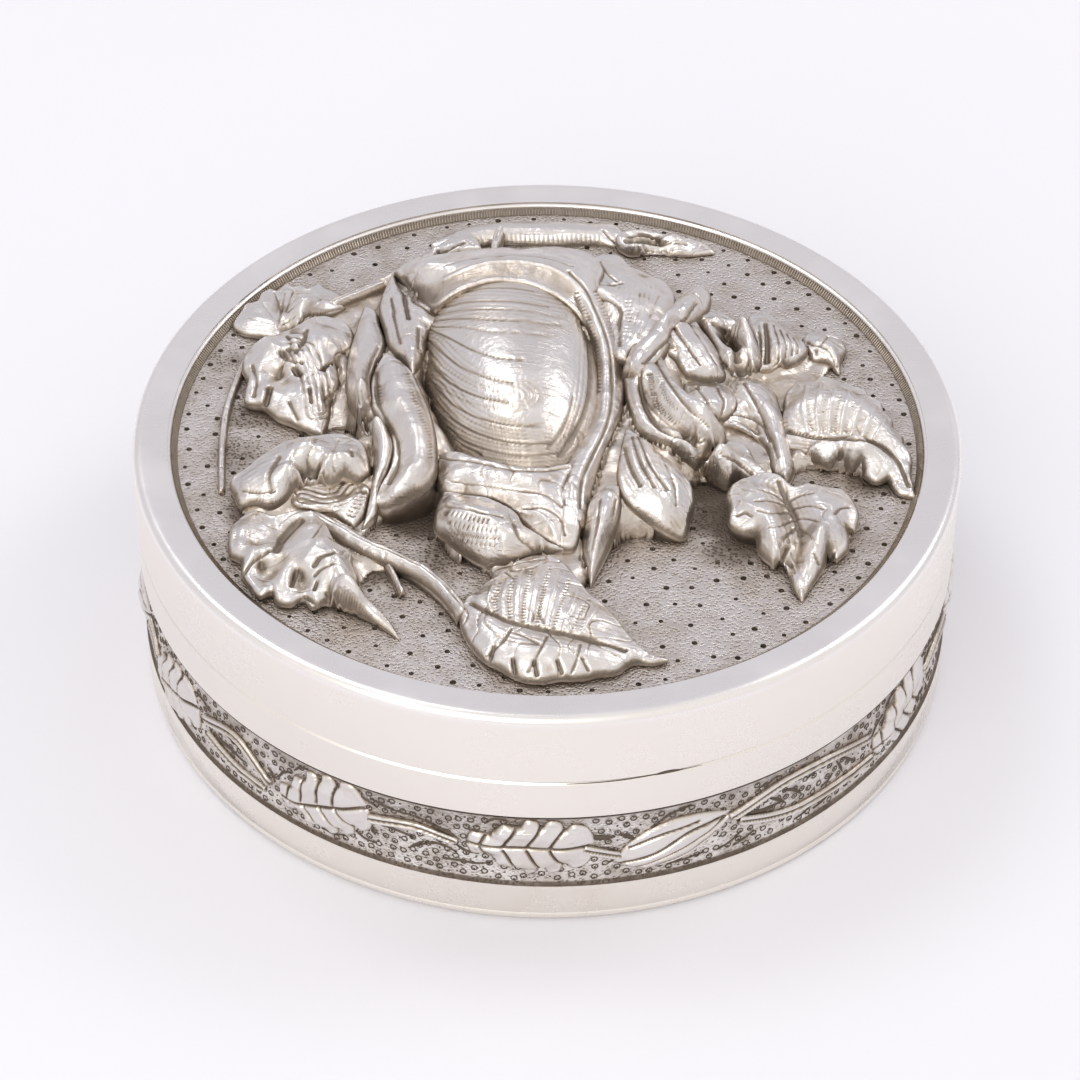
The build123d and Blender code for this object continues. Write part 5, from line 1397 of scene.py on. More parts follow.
# ---------------------------------------------------------------- sepals and petals
class BETELBOX_OT_petals(bpy.types.Operator):
    """Chases the sepals round the bud and the petals of the open flower beside it"""
    bl_idname = "betelbox.petals"
    bl_label = "Sepals and petals"

    def execute(self, context):
        def petal(name, *args, **kwargs):
            set_out(chase(name + "_chased", *args, **kwargs), "lid", "chased_silver", name)

        petal("inner_left_sepal",
              [(-20.2, 16.4, 6.0), (-21.4, 13, 5.6), (-21.9, 9.6, 5.4), (-21.6, 6, 5.4), (-20.6, 3, 5.2), (-19.2, 0, 5.0),
               (-18.7, -3, 4.6), (-19, -6, 4.0), (-20.1, -9.4, 3.2), (-20.6, -12.4, 2.8),
               (-18.6, -12.6, 3.0), (-16.2, -11.2, 3.8), (-14.2, -9.4, 4.4), (-13.3, -7, 4.8), (-13.2, -3.6, 5.3),
               (-13.4, 0, 5.8), (-13.9, 3, 6.2), (-14.8, 6.6, 6.4), (-15.9, 10, 6.6), (-16.8, 12.6, 6.6),
               (-18.4, 14.6, 6.4)],
              forms=[[(-19.3, 14, 7.2), (-18.9, 10, 7.8), (-18, 6, 8.0), (-16.8, 2, 7.8), (-15.5, -2, 7.4),
                      (-14.9, -5.6, 6.6), (-15.8, -8.4, 5.6), (-18, -10.6, 4.4)],
                     [(-21, 9, 6.0), (-20.3, 5, 6.2), (-18.8, 1.4, 6.0), (-17.7, -2, 5.6), (-17.7, -5.6, 4.8),
                      (-18.7, -9, 3.8)]],
              grooves=[([(-21.2, 12), (-20.8, 7), (-19.6, 3), (-18.2, -0.6), (-17.8, -4.6), (-18.8, -8.6)], 0.3, 0.3)],
              ticks=[([(-17.4, 12), (-16.6, 8), (-15.4, 4), (-14.4, 0), (-14, -4)], 0.32, 0.6, 0.12),
                     ([(-20.8, 9.4), (-20.6, 6)], 0.5, 0.6, 0.14)],
              roll=0.3, bead=0.15, undercut=0.1, flow=0.03, crease=0.03,
              shades=[([(-19, 12), (-18, 2), (-18, -8)], 2.5, -0.25), ([(-16.8, 11), (-15.8, 6), (-14.6, 1)], 1.0, 0.3), ([(-14, -2), (-14.4, -8), (-17, -11.6)], 1.3, 0.35),
                      ([(-21, 10), (-20.8, 6), (-19.8, 2.4)], 0.7, 0.35)])
        petal("star_sepal",
              [(-19.9, 32.4, 3.6), (-20.7, 29.6, 3.8), (-21.4, 25, 4.2), (-20.6, 21, 5.0), (-19.9, 17.8, 5.6),
               (-18.2, 14.6, 6.2), (-16.7, 12.0, 7.0), (-15.4, 15.4, 6.6), (-14.9, 19.6, 6.2),
               (-13.9, 22.2, 6.2), (-13.9, 25.4, 6.0), (-15.8, 26.6, 5.4), (-17.4, 27.2, 4.8), (-18.6, 28.6, 4.2)],
              forms=[[(-19.7, 30, 4.8), (-19, 26, 6.4), (-17.9, 22, 7.4), (-17.4, 18, 8.0), (-16.9, 14.4, 8.0)],
                     [(-16, 24, 7.2), (-15, 24.6, 6.8)]],
              grooves=[([(-18.5, 29.6), (-18.1, 26.3), (-17.6, 23)], 0.3, 0.5),
                       ([(-17, 26.4), (-15.6, 25), (-14.2, 23.6)], 0.28, 0.4),
                       ([(-19.9, 27), (-19.2, 22), (-18.4, 18)], 0.24, 0.3),
                       ([(-16.2, 21), (-16.2, 17)], 0.2, 0.25)],
              roll=0.35)
        petal("outer_left_sepal",
              [(-23.3, 25.6, 3.0), (-24.2, 20, 2.8), (-24.9, 15, 2.8), (-25.0, 11, 3.0), (-24.4, 6, 3.0), (-23.2, 3, 3.0),
               (-21.6, 0, 3.0), (-21.1, -4, 2.8), (-21.0, -8, 2.4), (-21.2, -12, 2.0), (-21.7, -16.4, 1.4),
               (-20.2, -14, 2.4), (-19.8, -10, 3.0), (-18.8, -6, 3.8), (-18.4, -2, 4.6), (-19.2, 1, 5.0),
               (-20.8, 4, 5.0), (-21.4, 7, 5.0), (-21.6, 10, 5.0), (-21.2, 13, 5.0), (-20.2, 17.6, 4.6),
               (-21.0, 21, 4.0), (-22.2, 25, 3.4)],
              forms=[[(-22.8, 23, 4.4), (-22.5, 19, 5.6), (-23.1, 15, 6.4), (-23.6, 11, 6.8), (-23.2, 7, 6.8),
                      (-22.0, 4, 6.6), (-20.4, 1, 6.0), (-19.8, -3, 5.2), (-20.3, -8, 4.2), (-20.8, -12.4, 3.0)]],
              grooves=[([(-21.2, 17), (-22.2, 12), (-22.2, 8.6), (-21.4, 5)], 0.22, 0.2)],
              roll=0.3, bead=0.12, undercut=0.1, wave=0.1, flow=0, crease=0.03,
              shades=[([(-24, 20), (-23, 8), (-21.6, 0)], 1.6, -0.35), ([(-21.6, 14), (-21.7, 8), (-20.6, 3.4)], 0.6, 0.4)])
        petal("shell_petal",
              [(-12.4, -9.6, 3.8), (-8.7, -10.4, 4.6), (-7, -10.8, 5.0), (-5.0, -12.1, 5.2), (-3.5, -13.5, 5.2),
               (-2.7, -15.5, 4.8), (-1.2, -17.3, 4.4), (0.6, -18.5, 3.8), (2.2, -19.6, 3.0), (-0.5, -20.8, 2.6),
               (-4.3, -22.9, 1.8), (-6.7, -22.7, 1.8), (-9.4, -20.8, 2.0), (-11.4, -18.6, 2.2),
               (-13.2, -16.3, 2.4), (-13.1, -13, 3.0)],
              forms=[[(-11.6, -11.6, 4.6), (-8.4, -12.6, 5.8), (-5.4, -14.4, 6.0), (-3.4, -17, 5.4),
                      (-0.4, -19.2, 4.0)],
                     [(-11.4, -15.4, 4.2), (-8, -17, 5.0), (-5, -19.6, 4.2)]],
              ticks=[([(-11.7, -13.7), (-9, -14.6), (-6.6, -15.1)], 0.5, 0.55, 0.26),
                     ([(-11.3, -15.5), (-8.6, -16.4), (-5.7, -16.8)], 0.48, 0.55, 0.24),
                     ([(-9.8, -18.6), (-8, -19.2), (-5.9, -19.4)], 0.42, 0.55, 0.2)],
              grooves=[([(-12, -12.5), (-8.4, -13.3), (-5.2, -14.4)], 0.22, 0.24),
                       ([(-3.9, -15.6), (-2.9, -18.4), (-1.2, -20)], 0.26, 0.34),
                       ([(-10.8, -17.4), (-8, -18), (-5.6, -18.2)], 0.2, 0.24)],
              roll=0.4, undercut=0.5)
        petal("neck_sepal",
              [(5.4, -10.6, 4.4), (6.4, -9.2, 4.8), (7.4, -8.3, 5.0), (9.0, -8.6, 4.6), (8.9, -12.2, 4.0),
               (8.5, -15, 3.4), (7.4, -19.4, 2.2), (5.2, -25.8, 0.9), (4.2, -20.8, 1.8), (4.3, -16.3, 2.8)],
              forms=[[(7.6, -9.8, 5.8), (7.2, -14, 5.2), (6.4, -18.6, 3.8), (5.4, -23.8, 1.8)]],
              grooves=[([(6.4, -11), (6.0, -15), (5.3, -20)], 0.22, 0.3), ([(8.2, -11), (7.8, -15)], 0.18, 0.2)],
              roll=0.35)
        petal("lance_sepal",
              [(9.6, 2.6, 5.8), (8.8, -2, 5.6), (8.5, -8.1, 5.0), (9.1, -10.6, 4.6), (11.7, -14, 3.4),
               (14.1, -16.4, 2.2), (16.1, -17.5, 1.2), (17.1, -14, 2.0), (17.6, -11.3, 2.6), (17.4, -8.4, 3.4),
               (16, -5.4, 4.2), (14.1, -2.8, 4.8), (12, -0.1, 5.4)],
              forms=[[(10.2, 0, 6.8), (10.8, -4, 6.7), (12.4, -8.4, 6.0), (14.2, -12.4, 4.4), (15.8, -16, 2.0)]],
              grooves=[([(9.4, -1.6), (10, -5), (11.2, -8.4)], 0.26, 0.36),
                       ([(10.3, 0.5), (11.2, -4), (12.8, -8.6)], 0.26, 0.38),
                       ([(11, 0.6), (12.4, -4.6), (14.4, -9)], 0.22, 0.3),
                       ([(14.2, -4.6), (15.2, -8), (15.4, -12)], 0.2, 0.2)],
              roll=0.4, undercut=0.45)
        petal("curled_petal",
              [(9.4, 13.4, 5.8), (9.5, 9.3, 5.6), (10.0, 4.9, 5.2), (11.0, 0.9, 4.6), (13.4, -2, 3.8),
               (16.5, -3.8, 3.0), (17.9, -4.6, 2.6), (19.4, -2.6, 3.0), (21, -1.9, 3.0), (21.6, 1.9, 3.4),
               (18.6, 6.0, 4.6), (17.1, 8.9, 5.4), (15.6, 12.1, 6.0), (14.2, 16.2, 6.2), (12.2, 15.5, 6.2)],
              forms=[[(12.6, 14.2, 7.6), (13.6, 10.4, 7.9), (15.2, 6.6, 7.6), (17.6, 3, 6.6), (20.2, 0.2, 5.2)],
                     [(10.6, 11, 6.6), (10.9, 6.4, 6.6), (12.0, 2.6, 6.0), (14.4, -0.4, 5.2), (17.4, -2.4, 4.2)],
                     [(11.8, 8.8, 6.0), (12.7, 5, 5.8), (14.6, 1.9, 5.4), (17.8, -0.2, 4.4)]],
              grooves=[([(11.4, 13), (11.5, 9), (12.3, 5), (13.9, 1.9), (17, 0.2), (20.4, -0.4)], 0.28, 0.5),
                       ([(13.4, 14.9), (15.2, 10.4), (17.2, 6.2), (19.6, 2.8)], 0.24, 0.36)],
              ticks=[([(12.6, 12.4), (13, 8.6), (14.1, 5.4), (15.8, 3)], 0.42, 0.5, 0.24),
                     ([(13.9, 12), (14.4, 8.6), (15.8, 5.6)], 0.36, 0.5, 0.2)],
              roll=0.4, undercut=0.5)
        petal("pointed_petal",
              [(9.2, 12.4, 6.4), (9.4, 14.6, 6.8), (10.2, 17.2, 6.8), (11.9, 19.3, 6.8), (13.7, 22.4, 6.4),
               (15.5, 25.9, 5.8), (17.3, 28.9, 5.2), (19.7, 31.0, 4.8), (20.6, 28.5, 4.4), (20.3, 25.6, 4.2),
               (18.6, 22.6, 4.6), (16.4, 19.6, 5.2), (14.8, 16.4, 5.8), (13.2, 13.4, 6.2), (11.6, 11, 6.4)],
              forms=[[(10.1, 14, 8.2), (10.9, 16.6, 8.5), (12.6, 18.7, 8.6), (14.4, 21.9, 8.5), (16.2, 25.4, 8.0),
                      (17.9, 28.2, 7.0), (19.3, 29.9, 5.8)],
                     [(13.4, 15.8, 7.0), (16.4, 20.6, 6.4), (18.8, 25, 5.6)]],
              grooves=[([(11.9, 14.6), (14, 18), (16.4, 22), (18.6, 26.6)], 0.28, 0.4),
                       ([(12.2, 12.6), (14.6, 16.6), (17, 20.8)], 0.2, 0.24)],
              roll=0.35, undercut=0.45)
        petal("fan_petal",
              [(4.0, 29.8, 6.6), (4.8, 34.0, 5.4), (5.6, 36.0, 4.4), (7.2, 36.7, 3.8), (9.2, 36.2, 3.4),
               (10.6, 34, 3.4), (12.6, 32.6, 3.6), (14.6, 31.2, 4.0), (16, 28.4, 4.6), (16.1, 25.8, 5.2),
               (15.2, 22.2, 6.0), (13.3, 19.2, 6.6), (11.0, 17.6, 7.0), (9.8, 15.2, 7.2), (8.4, 15.4, 7.0),
               (7.8, 19.6, 7.0), (6.6, 24, 7.0), (5.2, 27.2, 7.0)],
              forms=[[(8.9, 17, 7.8), (9.2, 21, 7.6), (9.6, 25.4, 8.2), (8, 27.8, 8.4), (5.9, 28.6, 8.2)],
                     [(11, 20, 7.6), (12.6, 24, 7.2), (13.6, 27.6, 6.8), (12.2, 29.4, 6.6), (9, 29.6, 7.0)],
                     [(6.2, 31.6, 7.0), (7.4, 34.2, 6.0), (9, 34, 5.4)]],
              grooves=[([(5.9, 26.9), (7.4, 27), (8.8, 25.8), (8.9, 22), (8.9, 18)], 0.3, 0.3),
                       ([(5.2, 30.6), (7.6, 30.2), (9.4, 30.6)], 0.25, 0.2),
                       ([(10.2, 19.4), (11.2, 24), (11.6, 28.6)], 0.15, 0.1),
                       ([(11.2, 19.6), (12.8, 24), (13.9, 28)], 0.15, 0.1),
                       ([(6.6, 35), (7.4, 32.6), (8.6, 31)], 0.2, 0.25)],
              ticks=[([(9.8, 20), (10.2, 24), (10, 27.6)], 0.45, 0.75, 0.1)],
              combs=[([(8.4, 20), (10.4, 26), (11, 30)], 2.6, 0.66, 0.05)],
              roll=0.4, undercut=0.5, flow=0, crease=0.04)
        petal("side_petal",
              [(13.2, 19.2, 5.6), (15.2, 22.8, 5.6), (16.2, 24.6, 5.2), (17.9, 24.4, 4.8), (19.4, 21.4, 4.2),
               (20.9, 18, 3.8), (22.2, 14, 3.2), (21.9, 12.0, 3.2), (18.8, 11.5, 4.2), (17.1, 12.6, 5.0),
               (15.7, 15.5, 5.6), (14.0, 17.3, 5.8)],
              forms=[[(16.6, 22.6, 6.8), (18, 19.8, 6.6), (19.4, 16.6, 6.0), (20.6, 13.4, 5.0)],
                     [(15, 19.4, 6.4), (16.8, 16.4, 6.2), (18.4, 13.4, 5.4)]],
              grooves=[([(15.8, 21.6), (17.2, 18.4), (18.9, 14.6)], 0.24, 0.34),
                       ([(17.6, 22.9), (19.4, 18.6), (20.9, 14.6)], 0.2, 0.24)],
              roll=0.4, shades=[([(16.6, 21), (18.6, 15)], 2.6, -0.2)])
        petal("cup_petal",
              [(17.6, 23.9, 3.0), (18.8, 25.3, 3.0), (20.3, 25.6, 2.8), (22.7, 24.4, 2.8), (24.8, 21.2, 3.0),
               (26.3, 17.8, 3.0), (26.6, 14.6, 2.8), (25, 12.7, 2.8), (23, 12.5, 3.0), (21.5, 13.9, 3.4),
               (20.8, 17.4, 3.8), (19.4, 21, 3.8)],
              forms=[[(19.4, 24, 4.4), (21.6, 23.6, 4.6), (23.8, 20.8, 5.0), (25.2, 17.4, 5.0), (25.4, 14.8, 4.4),
                      (23.6, 13.8, 4.4), (22.3, 15.4, 4.8), (21.6, 18.6, 4.8), (20.4, 21.8, 4.6)],
                     [(23.4, 16.4, 2.6), (23.0, 18.6, 2.4), (22.0, 21, 2.8)]],
              grooves=[([(23.6, 15.4), (23.3, 18), (22.2, 20.6), (20.8, 23)], 0.45, 0.5),
                       ([(24.9, 14.4), (24.8, 17.8), (23.6, 20.6)], 0.2, 0.24)],
              roll=0.35)
        petal("ribbed_petal",
              [(25.7, 24.6, 2.0), (27.6, 24.9, 2.0), (29.6, 22.1, 2.2), (31.5, 20.0, 2.2), (32.4, 18.1, 2.2),
               (31.1, 15.5, 2.4), (28.4, 14.2, 2.6), (26.3, 13.8, 2.8), (25.9, 18.2, 3.0), (25.2, 21.2, 2.6)],
              forms=[[(26.6, 22.8, 3.8), (28, 20.8, 4.4), (29, 18, 4.6), (28.6, 15.6, 4.2)],
                     [(30.6, 18.4, 3.6)]],
              grooves=[([(27.3, 22.8), (27.4, 19), (27.2, 15.2)], 0.34, 0.6),
                       ([(28.3, 22.4), (28.8, 19), (28.6, 15.6)], 0.17, 0.26),
                       ([(29.1, 21.6), (29.7, 18.6), (29.5, 16)], 0.17, 0.26),
                       ([(29.9, 20.8), (30.5, 18.4), (30.3, 16.4)], 0.17, 0.24),
                       ([(30.7, 20), (31.2, 18.2), (31, 16.8)], 0.15, 0.2),
                       ([(26.4, 22.4), (26.5, 19), (26.5, 16)], 0.17, 0.24)],
              roll=0.3)
        petal("inner_bract",
              [(17.2, 11.2, 3.6), (20, 11.2, 3.2), (22.8, 9.9, 2.8), (23.3, 6.6, 2.8), (22.2, 4.4, 3.0),
               (20.2, 3.4, 3.4), (18.2, 4.9, 4.2), (17.0, 8.1, 4.4)],
              forms=[[(18.6, 9.4, 5.0), (20.6, 7.4, 5.2), (20.8, 5.2, 4.6)], [(22, 8, 4.4)]],
              grooves=[([(18.3, 10), (19.6, 7), (19.9, 4.9)], 0.2, 0.3), ([(20.9, 10), (21.6, 7.4), (21.2, 5)], 0.2, 0.3)],
              roll=0.35)
        petal("outer_bract",
              [(22.4, 11.2, 2.4), (24.2, 12.2, 2.2), (26.1, 11.5, 2.0), (27.8, 9.6, 2.0), (28.5, 6.3, 2.0),
               (28.9, 3.7, 2.0), (29.4, -1, 1.8), (29.6, -5.7, 1.6), (28.6, -8.4, 1.6), (27.2, -6, 1.8),
               (26.4, -1, 2.2), (25, 1.6, 2.4), (22.5, 3.4, 2.6), (20.4, 3.0, 3.0), (21, 4.2, 3.2), (22.6, 5.4, 3.0)],
              forms=[[(23.6, 10.2, 3.8), (25.6, 8.8, 4.2), (26.9, 6, 4.2), (27.4, 2.6, 3.8), (28, -2, 3.4),
                      (28.5, -6, 2.8)],
                     [(22.4, 4.5, 3.8), (25, 3.2, 4.0)]],
              grooves=[([(24.2, 11), (25.4, 7.6), (26.3, 4), (26.9, 0)], 0.22, 0.34),
                       ([(21.8, 4.9), (24.8, 4.3), (26.8, 1.6), (27.8, -3)], 0.2, 0.26)],
              roll=0.3)
        petal("lower_bract",
              [(17.2, -2.2, 2.8), (20.6, -1.6, 3.0), (22, 0.2, 3.0), (24, -0.8, 2.6), (25.3, -4, 2.2), (26.8, -6, 1.8),
               (25, -7.2, 1.6), (23, -7, 1.6), (21.8, -8.2, 1.4), (20, -7, 1.8), (18.2, -4.8, 2.2)],
              forms=[[(18.6, -3.6, 3.9), (20.6, -4, 4.2), (22.2, -5.2, 3.6)], [(22.2, -1.2, 4.0), (24, -3.6, 3.4)]],
              grooves=[([(20.8, -2.2), (22.8, -3.8), (24.6, -6.2)], 0.26, 0.4),
                       ([(18.6, -3), (20.4, -5), (21.6, -7)], 0.18, 0.22)],
              roll=0.3)
        return {"FINISHED"}


# ---------------------------------------------------------------- leaves
class BETELBOX_OT_leaves(bpy.types.Operator):
    """Chases the serrated leaves of the spray"""
    bl_idname = "betelbox.leaves"
    bl_label = "Leaves"

    def execute(self, context):
        def leaf(name, *args, **kwargs):
            set_out(chase(name + "_chased", *args, **kwargs), "lid", "chased_silver", name)

        leaf("front_leaf",
             [(-8.1, -27.2, 2.0), (-6.7, -25.5, 2.4), (-4.9, -24.0, 2.6), (-3.7, -22.3, 2.6), (-2, -21.1, 2.6),
              (-0.5, -20.8, 2.8), (1.3, -21.4, 2.8), (3.8, -24.9, 2.8), (5.2, -27.4, 2.6), (7.2, -29.8, 2.2),
              (8.7, -32.4, 1.8), (10.2, -35.2, 1.5), (11.6, -36.9, 1.2), (14.2, -38.1, 0.9), (12.5, -38.7, 1.0),
              (10, -38.7, 1.1), (8, -40.3, 1.2), (6, -40.7, 1.2), (4, -41.3, 1.3), (1.5, -41.4, 1.4),
              (0, -41.8, 1.4), (-2, -41.7, 1.4), (-4, -40.7, 1.4), (-5.2, -39.7, 1.5), (-6, -39.2, 1.5),
              (-8.7, -35.7, 1.5), (-9.7, -32.5, 1.7), (-9.6, -29.3, 1.8)],
             forms=[[(-7.6, -29.6, 3.0), (-4, -32.6, 3.2), (0, -34, 3.2), (5, -35.3, 2.8), (10, -37.2, 1.9)],
                    [(-5.8, -27.6, 3.7), (-2.6, -26.2, 4.3), (0.6, -26.4, 4.3), (3.6, -29, 3.7), (6.6, -32.4, 2.9)],
                    [(-7.4, -33.4, 2.8), (-4.4, -36.6, 3.0), (-0.6, -38.4, 3.0), (3.6, -38.6, 2.6),
                     (7.4, -38.6, 2.0)]],
             grooves=[([(-8.4, -29.4), (-4, -32.4), (0, -33.6), (4.5, -35), (9, -36.8)], 0.34, 0.6),
                      ([(-3.6, -38.4), (-3.4, -40.6)], 0.26, 0.6), ([(-1.2, -38.8), (-0.9, -41)], 0.26, 0.55),
                      ([(1.4, -38.6), (1.9, -40.6)], 0.24, 0.5), ([(-5.8, -36.4), (-6.2, -38.6)], 0.26, 0.5),
                      ([(4.2, -38.2), (4.9, -40.2)], 0.22, 0.4), ([(-3.9, -33.6), (-5.2, -36.2), (-6.6, -38)], 0.18, 0.26),
                      ([(0.2, -34.8), (-0.8, -37.6), (-1.9, -40.6)], 0.18, 0.26),
                      ([(4, -36), (3.6, -38.4), (3, -40.6)], 0.18, 0.22)],
             ridges=[([(-6.3, -30.6), (-6.6, -28.4), (-6.2, -26.6)], 0.2, 0.18),
                     ([(-4.9, -31.4), (-5, -28.4), (-4.4, -25.4)], 0.2, 0.2),
                     ([(-3.4, -32), (-3.4, -28), (-2.6, -23.4)], 0.2, 0.2),
                     ([(-1.8, -32.6), (-1.4, -28), (-0.6, -22.4)], 0.2, 0.2),
                     ([(0, -33), (0.6, -29), (1.6, -24)], 0.2, 0.2),
                     ([(2, -33.6), (2.8, -30.4), (3.8, -27)], 0.2, 0.18),
                     ([(4, -34.2), (5, -32), (6, -29.8)], 0.2, 0.16)],
             ticks=[([(-5.6, -31), (-5.8, -28.6), (-5.4, -26)], 0.22, 0.5, 0.22),
                    ([(-4.1, -31.6), (-4.2, -28), (-3.4, -24.4)], 0.22, 0.5, 0.24),
                    ([(-2.6, -32.2), (-2.4, -28), (-1.6, -23)], 0.22, 0.5, 0.24),
                    ([(-0.9, -32.8), (-0.4, -28), (0.5, -23)], 0.22, 0.5, 0.24),
                    ([(1, -33.2), (1.7, -29.6), (2.7, -25.4)], 0.22, 0.5, 0.22),
                    ([(3, -33.8), (3.9, -31.2), (5, -28.6)], 0.22, 0.5, 0.2)],
             roll=0.35, undercut=0.5, lip=0.5, crease=0.22,
             shades=[([(-5, -26), (1, -31), (5, -37)], 7.0, 0.17), ([(-7, -31), (-2, -33.6), (4, -35.6)], 1.0, 0.25)])
        leaf("front_left_leaf",
             [(-36.1, -14.9, 1.4), (-37.1, -16.7, 1.3), (-37.3, -19.3, 1.3), (-36.9, -21.5, 1.3), (-35.6, -22.4, 1.6),
              (-35.3, -24.6, 1.3), (-34.1, -26.8, 1.3), (-33, -28.4, 1.3), (-31.6, -27.6, 1.7), (-31.1, -29.1, 1.3),
              (-29.3, -29.7, 1.3), (-28.1, -28.6, 1.6), (-26.8, -30.1, 1.3), (-25.2, -29.2, 1.5),
              (-23.5, -30.2, 1.3), (-20.9, -31.5, 1.1), (-18.7, -33.2, 0.9), (-16.6, -35.3, 0.6),
              (-17.5, -32.9, 0.9), (-19.4, -30.2, 1.3), (-21.5, -27.9, 1.8), (-21.7, -25.4, 2.2),
              (-22.5, -23, 2.6), (-22.7, -21.1, 2.8), (-24.4, -19.4, 2.9), (-26.2, -15.5, 3.0),
              (-27.6, -13.9, 2.6), (-29.9, -13.5, 2.2), (-32.3, -14.4, 1.9), (-34.3, -13.6, 1.6)],
             forms=[[(-35.6, -16.6, 2.6), (-35.8, -19.8, 2.5)], [(-33.4, -17.4, 2.0), (-33.8, -19.8, 1.8)],
                    [(-34.6, -22.4, 2.5), (-32, -20.8, 3.0)], [(-33.2, -23.4, 1.4), (-31.6, -24.8, 1.4)],
                    [(-29.8, -22.8, 3.0), (-30.2, -26, 2.5)], [(-29.7, -16.8, 1.8), (-30.7, -19, 1.6)],
                    [(-27.9, -16.2, 4.1), (-28, -19.4, 4.4), (-28.2, -22.6, 3.8)], [(-25.8, -18.4, 4.5), (-24.6, -21, 4.6)],
                    [(-25, -24, 4.2), (-23.8, -25.2, 4.1)], [(-28.4, -25.2, 1.9), (-27.4, -26.6, 1.9)],
                    [(-24.6, -27.4, 3.4), (-21.6, -29.8, 2.3)]],
             grooves=[([(-29, -15.4), (-30.5, -18), (-31.6, -20.6)], 0.5, 0.6),
                      ([(-32.4, -20.8), (-34.2, -22.8), (-35, -24.8)], 0.26, 0.5),
                      ([(-24.8, -21), (-26.2, -21.6), (-27, -23.3)], 0.3, 0.6),
                      ([(-24.8, -22.9), (-26.2, -23.9), (-26.8, -25)], 0.22, 0.45),
                      ([(-26.5, -26), (-26.7, -27.4)], 0.2, 0.5), ([(-28.9, -24), (-29.4, -26.8)], 0.28, 0.45),
                      ([(-27.6, -28.6), (-26, -29.6), (-24.8, -29)], 0.32, 0.7),
                      ([(-25.2, -28), (-23.2, -29.6)], 0.22, 0.5), ([(-26.4, -16.2), (-27.4, -18.4)], 0.18, 0.2)],
             ridges=[([(-36.8, -17.4), (-36.9, -20.4)], 0.3, 0.2), ([(-31.1, -16.6), (-29.6, -14.8), (-27.8, -14.3)], 0.3, 0.3),
                     ([(-32.6, -27.2), (-30.6, -28.5)], 0.3, 0.25), ([(-26.4, -18.6), (-28.4, -22.6)], 0.5, 0.2)],
             roll=0.32, undercut=0.45, flow=0.04, crease=0.1,
             shades=[([(-34, -20), (-27, -24), (-20, -30)], 6.0, 0.12), ([(-32.8, -21.6), (-30.6, -22.4)], 1.2, 0.35), ([(-31, -18.4), (-30, -17)], 1.0, 0.3)])
        leaf("curled_leaf",
             [(-37.8, -8.4, 1.8), (-36, -6, 2.6), (-33.6, -2.8, 3.6), (-31, -0.9, 4.2), (-28, 0, 4.5), (-24.5, 0.4, 4.4),
              (-22.4, -1, 4.2), (-21.4, -4, 3.8), (-21.2, -7.2, 3.2), (-22.6, -8.2, 3.2), (-24, -7.5, 3.6),
              (-25.8, -8.6, 3.2), (-27.4, -7.8, 3.5), (-28.8, -8.6, 3.2), (-30.2, -10.2, 2.8), (-31.2, -11.8, 2.4),
              (-33, -13, 2.0), (-34.4, -12.3, 2.2), (-36.3, -12.8, 1.7), (-37.1, -11, 1.7)],
             forms=[[(-36, -9, 3.4), (-33.4, -6.2, 4.8), (-30.4, -4.2, 5.6), (-27, -3, 5.9), (-23.8, -2.8, 5.3)],
                    [(-35, -11, 2.8), (-32.6, -9.6, 3.9), (-29.6, -7, 4.9), (-26.6, -5.8, 5.2), (-23, -6, 4.6)]],
             grooves=[([(-32.2, -4), (-33.2, -7.4), (-32.6, -10.4)], 0.3, 0.3),
                      ([(-28, -0.8), (-28.8, -4), (-28.2, -7.2)], 0.35, 0.22),
                      ([(-30.4, -2.6), (-31, -6.4), (-30.6, -9)], 0.22, 0.14),
                      ([(-25.2, -0.8), (-25.8, -4), (-25.4, -7)], 0.22, 0.14), ([(-23.6, -2.8), (-23.4, -3.6)], 0.26, 0.4),
                      ([(-36, -10.2), (-34, -10.6), (-32.4, -10.2)], 0.25, 0.3)],
             ridges=[([(-37, -11.6), (-34.4, -11.7), (-32, -11.8), (-30, -9.4), (-27.6, -7.4), (-24, -7.1)], 0.3, 0.2)],
             roll=0.3, bead=0.12, undercut=0.4, lip=0.45, crease=0.1)
        under = chase("hollow_leaf_chased",
                      [(-30.4, -10, 2.2), (-28, -8.6, 2.4), (-22.4, -8.2, 2.8), (-21.2, -9.2, 2.8), (-21.1, -12, 2.4),
                       (-21.6, -14.6, 1.8), (-22.6, -16.6, 1.2), (-24.2, -15, 1.8), (-25.4, -13.4, 2.4),
                       (-28, -13, 2.4), (-30, -12.4, 2.0)],
                      [[(-28.4, -10.6, 1.9), (-26, -10.6, 1.8), (-23.6, -10.6, 2.0)],
                       [(-22.2, -11, 3.2), (-22.6, -13.6, 2.6)]],
                      ticks=[([(-21.9, -10.4), (-22.4, -12.6), (-23.2, -14.8)], 0.6, 0.7, 0.3)],
                      combs=[([(-29, -11.4), (-26, -12.2), (-24, -11.4), (-23, -9.6)], 2.2, 0.8, 0.14)],
                      undercut=0.0, flow=0)
        set_out(under, "lid", "chased_silver")
